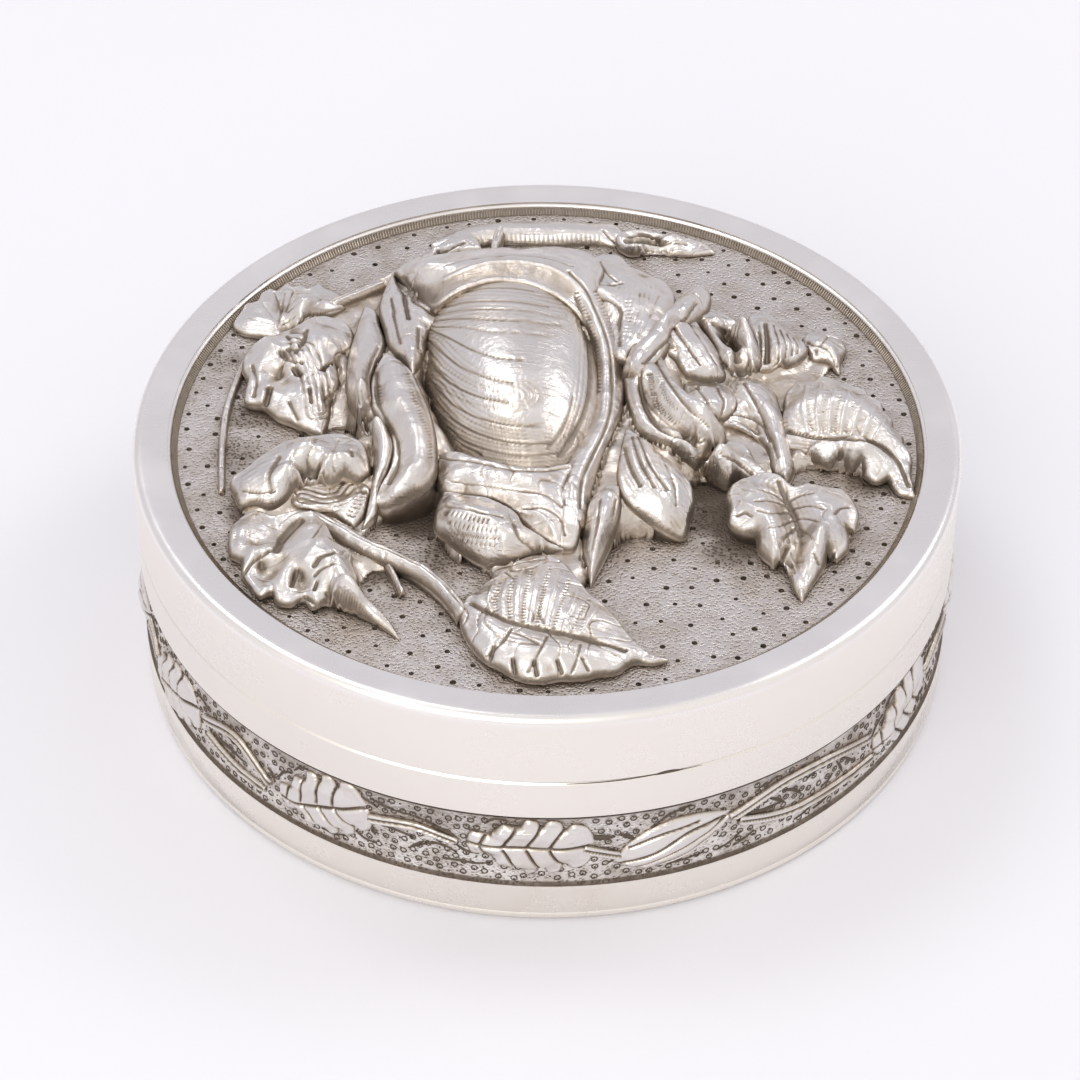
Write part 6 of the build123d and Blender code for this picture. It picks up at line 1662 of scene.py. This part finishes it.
        leaf("crumpled_leaf",
             [(-34.6, 19.2, 2.4), (-36.9, 17.1, 2.2), (-37.8, 14.9, 2.0), (-37.8, 12.6, 1.8), (-37.1, 10.8, 1.8),
              (-36.9, 6.2, 1.5), (-34.8, 5.6, 1.7), (-33, 3.6, 1.6), (-31, 2.4, 1.4), (-29.5, 1.3, 1.2),
              (-27.2, 0.0, 0.9), (-26.7, 2.2, 1.2), (-26.2, 7.2, 1.9), (-25.6, 9.3, 2.2), (-25.9, 14.3, 2.4),
              (-24.4, 16.6, 2.6), (-24.3, 19.6, 2.8), (-25.5, 22, 2.8), (-27.6, 23, 3.0), (-29.5, 23, 3.0),
              (-31.9, 20.9, 2.8)],
             forms=[[(-28.6, 21, 4.6), (-27, 19.4, 4.6), (-26.4, 17, 4.2)],
                    [(-35, 17.4, 3.6), (-36, 14.4, 3.2), (-35.4, 11.4, 2.8)],
                    [(-31.6, 17.6, 4.6), (-33, 15.2, 4.2), (-29.6, 11, 4.2), (-28.2, 7, 3.4), (-28.4, 3.6, 2.4)],
                    [(-32.6, 12.2, 2.6), (-33, 8.6, 2.6)], [(-34.8, 8, 3.0)]],
             grooves=[([(-27.9, 12.7), (-27.2, 13.7), (-26.3, 14)], 0.32, 0.9), ([(-34.2, 9), (-34.5, 6)], 0.4, 0.9),
                      ([(-31.3, 12.9), (-30.8, 12)], 0.5, 1.0), ([(-27.2, 7), (-26.4, 7.7)], 0.25, 0.7),
                      ([(-30.2, 20.4), (-30.6, 18), (-31.4, 16)], 0.3, 0.5), ([(-33.2, 16), (-32.4, 14.6), (-30.6, 14)], 0.4, 0.4),
                      ([(-32.6, 19), (-32, 17.6)], 0.25, 0.4), ([(-29.3, 9), (-29, 6.4)], 0.25, 0.45),
                      ([(-36.6, 13.4), (-35.9, 10.4), (-36, 7.4)], 0.22, 0.3), ([(-31.6, 6.4), (-30.4, 3)], 0.25, 0.35)],
             ticks=[([(-31.4, 19.8), (-31.7, 15.6)], 1.0, 1.1, 0.25)],
             combs=[([(-30.6, 16.6), (-28.8, 11), (-27.8, 4.6)], 1.9, 0.8, 0.2)],
             ridges=[([(-35, 18), (-34.4, 16.8)], 0.8, 0.6), ([(-31.9, 17.9), (-31.4, 17.2)], 0.5, 0.5)],
             roll=0.35, undercut=0.4, wave=0.24, flow=0, crease=0.08,
             shades=[([(-32, 19), (-31.4, 15)], 0.9, 0.2), ([(-26.8, 6), (-26.6, 1)], 1.0, 0.3)])
        leaf("far_left_leaf",
             [(-39.6, 21.2, 0.8), (-38.9, 23.7, 0.9), (-38, 25.8, 1.0), (-37.2, 25.9, 1.1), (-36.4, 27.8, 1.0),
              (-35.3, 28.8, 1.0), (-34.5, 28.4, 1.2), (-33.3, 30.3, 0.9), (-32.4, 29.2, 1.1), (-31.4, 29.6, 1.0),
              (-30.6, 28.9, 1.2), (-29.2, 30.1, 0.9), (-28.2, 28.8, 1.0), (-26.5, 27.6, 1.0), (-25.5, 25.4, 1.0),
              (-26.6, 24, 1.2), (-29.2, 22.4, 1.2), (-31.6, 20.5, 1.2), (-33.9, 18.9, 1.0), (-36.2, 19.2, 0.9),
              (-38.3, 19.7, 0.8)],
             forms=[[(-34, 20.6, 1.5), (-33.6, 24, 1.6), (-33.1, 28, 1.3)], [(-36.8, 22.6, 1.9), (-35.8, 26, 1.8)],
                    [(-33, 20.4, 2.3), (-30.4, 23.4, 2.5), (-27.4, 25.6, 2.0)], [(-30.6, 26.6, 1.9), (-28.4, 27, 1.7)]],
             grooves=[([(-33.9, 20.6), (-33.7, 24), (-33.4, 27.6)], 0.14, 0.12),
                      ([(-34.6, 21.4), (-37.8, 22.6)], 0.13, 0.12), ([(-34.6, 22.6), (-36.4, 26)], 0.13, 0.12),
                      ([(-33.2, 21.4), (-30.6, 24.4), (-28.8, 26.6)], 0.13, 0.16),
                      ([(-32.4, 20.2), (-29.6, 23), (-26.2, 24.9)], 0.16, 0.2),
                      ([(-33.6, 24), (-34.8, 27.8)], 0.13, 0.14), ([(-33.1, 24), (-32.4, 28.2)], 0.13, 0.14),
                      ([(-32.8, 23.8), (-30.8, 27)], 0.13, 0.14)],
             roll=0.28, undercut=0.3, flow=0.03, crease=0.04,
             shades=[([(-34.6, 25.2), (-33.2, 24.4), (-31.8, 25.2)], 1.2, 0.28), ([(-34.6, 27), (-34, 24.6)], 0.6, 0.2)])
        leaf("right_leaf",
             [(28.8, 6.3, 2.2), (29.1, 8.6, 2.3), (30.1, 10.7, 2.3), (31.1, 11.7, 2.3), (32.4, 11.4, 2.5),
              (33.6, 12.4, 2.2), (34.9, 12.2, 2.1), (36.7, 11, 2.0), (37.6, 10.6, 2.0), (39.1, 10, 1.8),
              (39.6, 8.8, 1.8), (40.9, 7.7, 1.6), (41.2, 5.8, 1.6), (42.1, 4.4, 1.4), (42.2, 2.6, 1.4),
              (43.2, 1.3, 1.2), (43.2, -0.4, 1.2), (43.8, -1.6, 1.1), (43.7, -6, 0.9), (44.0, -10, 0.6),
              (42, -9.1, 0.9), (40.9, -6.4, 1.2), (39.4, -7.1, 1.2), (38.2, -6.2, 1.3), (37.8, -4.4, 1.5),
              (36.5, -4.8, 1.4), (35.3, -3.6, 1.6), (33.8, -4.3, 1.5), (32.1, -3.3, 1.6), (30.5, -1.1, 1.9),
              (29.2, -1.0, 1.9), (28.3, 2.8, 2.1)],
             forms=[[(29.8, 1.8, 2.6), (33.8, 0.8, 2.6), (37.9, 0.8, 2.4), (41, -1, 2.0), (43, -6.4, 1.4)],
                    [(30.6, 7, 4.4), (33.6, 7.6, 5.0), (37, 6.6, 4.6), (40, 4.0, 3.4), (42, 0, 2.4)],
                    [(31, -0.8, 3.0), (34.4, -1.6, 3.1), (38, -3, 2.8), (41.2, -4.6, 2.2)]],
             grooves=[([(29.4, 1.9), (33.8, 0.6), (37.9, 0.7), (40, -0.4), (41.8, -2.6), (43.3, -8)], 0.3, 0.6)],
             ridges=[([(31.6, 1.9), (31.2, 6), (31.9, 10.2)], 0.24, 0.26), ([(32.9, 1.7), (32.9, 6), (33.7, 10.8)], 0.24, 0.28),
                     ([(34.2, 1.6), (34.6, 6), (35.5, 10.4)], 0.24, 0.28), ([(35.6, 1.6), (36.2, 5.6), (37.2, 9.6)], 0.24, 0.28),
                     ([(37, 1.6), (37.8, 5), (38.8, 8.6)], 0.24, 0.26), ([(38.3, 1.4), (39.2, 4), (40.2, 6.6)], 0.24, 0.24),
                     ([(39.6, 0.7), (40.6, 2.8), (41.4, 4.4)], 0.22, 0.2)],
             ticks=[([(32.2, 2), (32, 6), (32.8, 10.4)], 0.2, 0.6, 0.12), ([(33.5, 2), (33.7, 6), (34.6, 10.4)], 0.2, 0.6, 0.12),
                    ([(34.9, 2), (35.4, 6), (36.3, 9.8)], 0.2, 0.6, 0.12), ([(36.3, 2), (37, 5.4), (38, 9)], 0.2, 0.6, 0.12)],
             roll=0.35, undercut=0.5)
        leaf("front_right_leaf",
             [(22.8, -7.2, 2.8), (24.4, -6.4, 3.0), (25.6, -5.8, 3.0), (27.8, -6.1, 3.0), (29.6, -8, 3.0),
              (31.4, -7.6, 3.0), (33.4, -8.3, 2.8), (35.3, -8.7, 2.5), (36.6, -10.8, 2.2), (37, -13.4, 2.0),
              (36.4, -15.7, 1.8), (35.4, -15.2, 2.0), (35.6, -17.4, 1.7), (35.4, -19.1, 1.5), (34, -20.9, 1.3),
              (32.9, -19.9, 1.5), (32.6, -21.6, 1.3), (31.7, -23.7, 1.1), (30.6, -25.8, 0.9), (29.6, -28.2, 0.6),
              (28.7, -26, 0.9), (28.3, -23.4, 1.2), (27.6, -21.2, 1.5), (26.5, -22.1, 1.4), (24.9, -19.7, 1.8),
              (24.4, -16.7, 2.2), (23.1, -16.4, 2.2), (21.6, -15, 2.4), (21.7, -12.2, 2.7), (21.4, -9.9, 2.8)],
             forms=[[(27.6, -8, 2.9), (28.6, -12, 2.2), (29.6, -16, 2.0), (29.9, -20.6, 1.8), (29.7, -25, 1.3)],
                    [(24.4, -9, 4.2), (24.4, -12, 4.2), (25.6, -14.6, 4.0), (26.4, -17.4, 3.7), (28, -21.4, 2.4)],
                    [(31.8, -9.8, 4.2), (33.6, -11, 4.2), (34.2, -13.8, 3.8), (33, -17.8, 3.4), (31.2, -22, 2.2)]],
             grooves=[([(27.7, -7.4), (28.4, -10.4), (29.4, -14), (29.9, -17)], 0.3, 0.3),
                      ([(28.2, -11), (26.8, -9.6), (25.4, -9)], 0.16, 0.2),
                      ([(28.4, -11.8), (26.6, -11), (24.8, -11)], 0.18, 0.24),
                      ([(28.8, -13), (26.8, -13.2), (25, -12.6)], 0.2, 0.22),
                      ([(29.1, -14.4), (27.6, -15.4), (26.2, -15.6)], 0.18, 0.2),
                      ([(29.4, -15.8), (28, -17.6), (27.4, -19.2)], 0.2, 0.2),
                      ([(28.8, -11), (30.4, -9.8), (31.8, -9.4)], 0.18, 0.2),
                      ([(29.1, -12.4), (31, -11.8), (32.8, -12.2)], 0.2, 0.24),
                      ([(29.5, -14.2), (31.4, -14.2), (33, -15)], 0.18, 0.2),
                      ([(29.9, -16), (31.2, -17.2), (32, -19)], 0.2, 0.2),
                      ([(22.6, -13.6), (23.6, -13), (24.2, -13.6)], 0.25, 0.3),
                      ([(35.8, -12), (34.8, -12.2), (34.2, -13)], 0.25, 0.3),
                      ([(27.6, -21.2), (28.2, -19.4)], 0.3, 0.4), ([(31.8, -22), (31.4, -20)], 0.3, 0.4)],
             ridges=[([(23.2, -11.4), (24.6, -12.2)], 0.4, 0.25), ([(28.4, -20.4), (29.2, -24), (29.6, -27)], 0.2, 0.2)],
             roll=0.34, undercut=0.5, crease=0.12,
             shades=[([(27.4, -8.6), (28.6, -12), (29.6, -16)], 1.5, 0.3), ([(25.6, -11.4), (29, -13), (32.4, -12)], 1.0, 0.2)])
        leaf("small_right_leaf",
             [(32.2, 20.6, 1.4), (33.8, 21.5, 1.3), (34.6, 20.9, 1.4), (36.1, 20.5, 1.1), (37.2, 18.1, 0.9),
              (36.5, 15.9, 0.9), (36.1, 13.2, 0.7), (34.9, 15.0, 1.1), (32.8, 15.9, 1.3), (31.9, 17.8, 1.4)],
             forms=[[(33, 18.6, 2.4), (34.8, 17.4, 2.3), (35.8, 15.4, 1.6)], [(34.6, 19.6, 2.4)]],
             grooves=[([(32.4, 19), (34.6, 18), (35.8, 14.6)], 0.22, 0.3), ([(34, 18.6), (35, 20.2)], 0.18, 0.22),
                      ([(33.4, 18), (33.4, 16.6)], 0.18, 0.22)],
             roll=0.28, undercut=0.3)
        return {"FINISHED"}


# ---------------------------------------------------------------- stems
class BETELBOX_OT_stems(bpy.types.Operator):
    """Chases the stems, twigs, thorn and closed bud of the spray"""
    bl_idname = "betelbox.stems"
    bl_label = "Stems"

    def execute(self, context):
        def stem(name, line, width, height, groove=True):
            """A round-backed stem whose crest is seen along a line, at a height above the panel."""
            outline, crest = stem_outline(seen_at([(x, y, height) for x, y in line])[:, :2], width, height)
            marks = [([(x, y) for x, y, _ in crest], 0.16, 0.16)] if groove else []
            piece = chase(name + "_chased", outline, [crest], marks, roll=0.18, undercut=0.1, lip=0.3, drawn=False,
                          wave=0.12)
            set_out(piece, "lid", "chased_silver", name)

        top = chase(
            "top_stem_chased",
            [(-14.2, 36.6, 0.3), (-11, 37.4, 0.3), (-8.4, 38.1, 0.3), (-5.6, 38.3, 0.3), (2, 38.4, 0.3), (6.5, 38.5, 0.3),
             (8.8, 38.4, 0.4), (9.6, 40.6, 0.8), (8.8, 42.6, 0.9), (5, 43.2, 0.9), (1, 43.4, 0.9), (-3, 43.4, 0.9),
             (-7, 43.0, 0.9), (-10.6, 42.0, 0.9), (-13, 40.4, 0.9), (-15.2, 38.4, 0.8)],
            forms=[[(-13, 38.7, 1.1), (-10.6, 39.6, 1.2), (-8, 40.4, 1.3), (-4, 40.7, 1.35), (6, 40.7, 1.35),
                    (8.6, 40.4, 1.1)],
                   [(-12, 40.2, 1.4), (-8.6, 41.6, 1.6), (-4, 42.1, 1.7), (1, 42.2, 1.7), (6.6, 42, 1.6)]],
            grooves=[([(7, 41.6), (7.8, 40), (8.8, 38.8)], 0.2, 0.3)],
            ticks=[([(-13, 37.9), (-10.4, 38.8), (-8.2, 39.3)], 0.9, 0.66, 0.1),
                   ([(-5.4, 39.5), (7, 39.6)], 0.9, 0.6, 0.1)],
            roll=0.1, bead=0.0, undercut=0.0, wave=0.05, flow=0, crease=0)
        set_out(top, "lid", "chased_silver", "top_stem")
        bud = chase(
            "top_bud_chased",
            [(8.6, 40.2, 1.6), (9.7, 41.8, 1.5), (11.8, 42.2, 1.4), (14.1, 41.5, 1.3), (17.6, 40.4, 1.0),
             (20.4, 39, 0.8), (21.4, 37.4, 0.6), (17.6, 36.7, 0.6), (13.2, 37.1, 0.7), (10.3, 36.9, 0.9), (8.9, 38.4, 1.2)],
            forms=[[(10, 40.4, 2.3), (13, 40.6, 2.3), (16.6, 39.6, 1.9)], [(11, 38.4, 1.9), (15, 38, 1.6)],
                   [(11.4, 39.6, 1.2), (14, 39.2, 1.2)]],
            grooves=[([(10.4, 39.8), (12.4, 39.9), (14.2, 39.6)], 0.7, 0.9), ([(14, 39.5), (17.6, 38.8)], 0.25, 0.3)],
            roll=0.25, undercut=0.25)
        set_out(bud, "lid", "chased_silver", "top_bud")
        hood_stem = chase(
            "hood_stem_chased",
            [(-21.6, 31.2, 2.4), (-19.8, 32.9, 2.8), (-18.2, 34.1, 3.0), (-15.8, 36.3, 3.0), (-13.4, 39.0, 2.8),
             (-11.6, 41.2, 2.4), (-9.6, 40.2, 2.2), (-8.6, 37.6, 2.0), (-10.6, 36.9, 2.4), (-13.4, 35.6, 3.0),
             (-16.4, 33.6, 3.0), (-18.8, 31.2, 2.8), (-20.4, 30, 2.2)],
            forms=[[(-20.2, 31.6, 3.6), (-17.2, 34.2, 4.2), (-14.2, 36.8, 4.0), (-11.4, 39.2, 3.2)]],
            grooves=[([(-19.6, 31.4), (-16.6, 34), (-13.6, 36.6), (-11, 38.8)], 0.22, 0.32),
                     ([(-17.6, 31.8), (-14.6, 34.4), (-11.6, 37)], 0.18, 0.24)],
            roll=0.3, undercut=0.3)
        set_out(hood_stem, "lid", "chased_silver", "hood_stem")
        stem("stem_link", [(-6.4, 42.8), (-6.9, 40), (-7.2, 37.2), (-7.4, 35)], 1.5, 3.4)
        stem("leaf_twig", [(-27.6, 26.2), (-25.2, 27.9), (-22.8, 29.5), (-20.4, 31.2)], 1.5, 2.2)
        stem("left_stem", [(-37.4, 15.2), (-38.4, 10.6), (-39.2, 5), (-39.3, 0), (-39.1, -5), (-38.7, -10)], 1.0, 0.95)
        stem("branch_stem", [(-28, -13.4), (-24.8, -15.9), (-21, -18.9), (-17.4, -21), (-14.4, -23.2), (-11.6, -26.4),
                             (-9.4, -30.2)], 2.5, 2.6)
        stem("thorn", [(-21.2, -18.6), (-19, -21.4), (-17.8, -24), (-16.6, -27.2)], 1.1, 1.4, groove=False)
        return {"FINISHED"}


# ---------------------------------------------------------------- stage
class BETELBOX_OT_stage(bpy.types.Operator):
    """Lays the pale table, hangs the soft lights and sets up the camera"""
    bl_idname = "betelbox.stage"
    bl_label = "Stage"

    def execute(self, context):
        floor = bpy.data.meshes.new("table")
        reach = 3.0
        floor.from_pydata([(-reach, -reach, 0), (reach, -reach, 0), (reach, reach, 0), (-reach, reach, 0)], [],
                          [(0, 1, 2, 3)])
        floor.materials.append(finishes["floor"])
        table = bpy.data.objects.new("table", floor)
        context.scene.collection.objects.link(table)

        world = bpy.data.worlds.new("studio")
        world.use_nodes = True
        tree = world.node_tree
        facing = add_node(tree, "ShaderNodeTexCoord").outputs["Generated"]
        ahead = add_node(tree, "ShaderNodeSeparateXYZ", {0: facing}).outputs["Y"]
        share = between(tree, ahead, -0.55, 0.65)
        tree.links.new(blend(tree, share, (0.92, 0.89, 0.87, 1), (0.68, 0.67, 0.72, 1)),
                       tree.nodes["Background"].inputs["Color"])
        context.scene.world = world
        context.scene.view_settings.view_transform = "Standard"

        for name, place, aim, size, power in (
                ("left_box", (-0.26, 0.19, 0.66), (-0.004, 0.01, 0.04), 0.26, 0.75),
                ("right_box", (0.44, 0.2, 0.56), (-0.004, 0.01, 0.04), 0.26, 0.75),
                ("front_box", (-0.25, -0.6, 0.5), (0, 0, 0.01), 0.5, 1.6)):
            lamp = bpy.data.lights.new(name, "AREA")
            lamp.shape = "SQUARE"
            lamp.size = size
            lamp.energy = power
            hung = bpy.data.objects.new(name, lamp)
            hung.location = place
            hung.rotation_euler = (Vector(aim) - Vector(place)).to_track_quat("-Z", "Y").to_euler()
            context.scene.collection.objects.link(hung)

        lens = bpy.data.cameras.new("camera")
        lens.lens = 120.8
        lens.sensor_width = 36.0
        lens.clip_start = 0.01
        camera = bpy.data.objects.new("camera", lens)
        camera.location = (-0.00073, -0.3340, 0.3163)
        aim = Vector((-0.00073, 0, 0.01483)) - camera.location
        turn = aim.to_track_quat("-Z", "Y").to_matrix().to_4x4()
        roll = Vector((0, 0, 1))
        camera.rotation_euler = (turn @ turn.Rotation(CAMERA_ROLL, 4, roll)).to_euler()
        context.scene.collection.objects.link(camera)
        context.scene.camera = camera
        return {"FINISHED"}


CAMERA_ROLL = 0.012


class BETELBOX_PT_panel(bpy.types.Panel):
    """Sizes, colours and steps of the betel box"""
    bl_idname = "BETELBOX_PT_panel"
    bl_label = "Betel Box"
    bl_space_type = "VIEW_3D"
    bl_region_type = "UI"
    bl_category = "Betel Box"

    def draw(self, context):
        layout = self.layout
        for settings in (context.scene.betel_box_sizes, context.scene.betel_box_colours):
            column = layout.column()
            for key in settings.bl_rna.properties.keys():
                if key not in ("rna_type", "name"):
                    column.prop(settings, key)
        for step in STEPS:
            layout.operator(step.bl_idname)


STEPS = (BETELBOX_OT_stage, BETELBOX_OT_base, BETELBOX_OT_garland, BETELBOX_OT_lid, BETELBOX_OT_rose_bud,
         BETELBOX_OT_petals, BETELBOX_OT_leaves, BETELBOX_OT_stems, BETELBOX_OT_bed)
CLASSES = (BetelBoxSizes, BetelBoxColours, *STEPS, BETELBOX_PT_panel)


def register():
    for kind in CLASSES:
        bpy.utils.register_class(kind)
    bpy.types.Scene.betel_box_sizes = PointerProperty(type=BetelBoxSizes)
    bpy.types.Scene.betel_box_colours = PointerProperty(type=BetelBoxColours)


def unregister():
    del bpy.types.Scene.betel_box_colours
    del bpy.types.Scene.betel_box_sizes
    for kind in reversed(CLASSES):
        bpy.utils.unregister_class(kind)


def main():
    register()
    make_finishes()
    for step in STEPS:
        group, name = step.bl_idname.split(".")
        getattr(getattr(bpy.ops, group), name)()


if __name__ == "__main__":
    main()
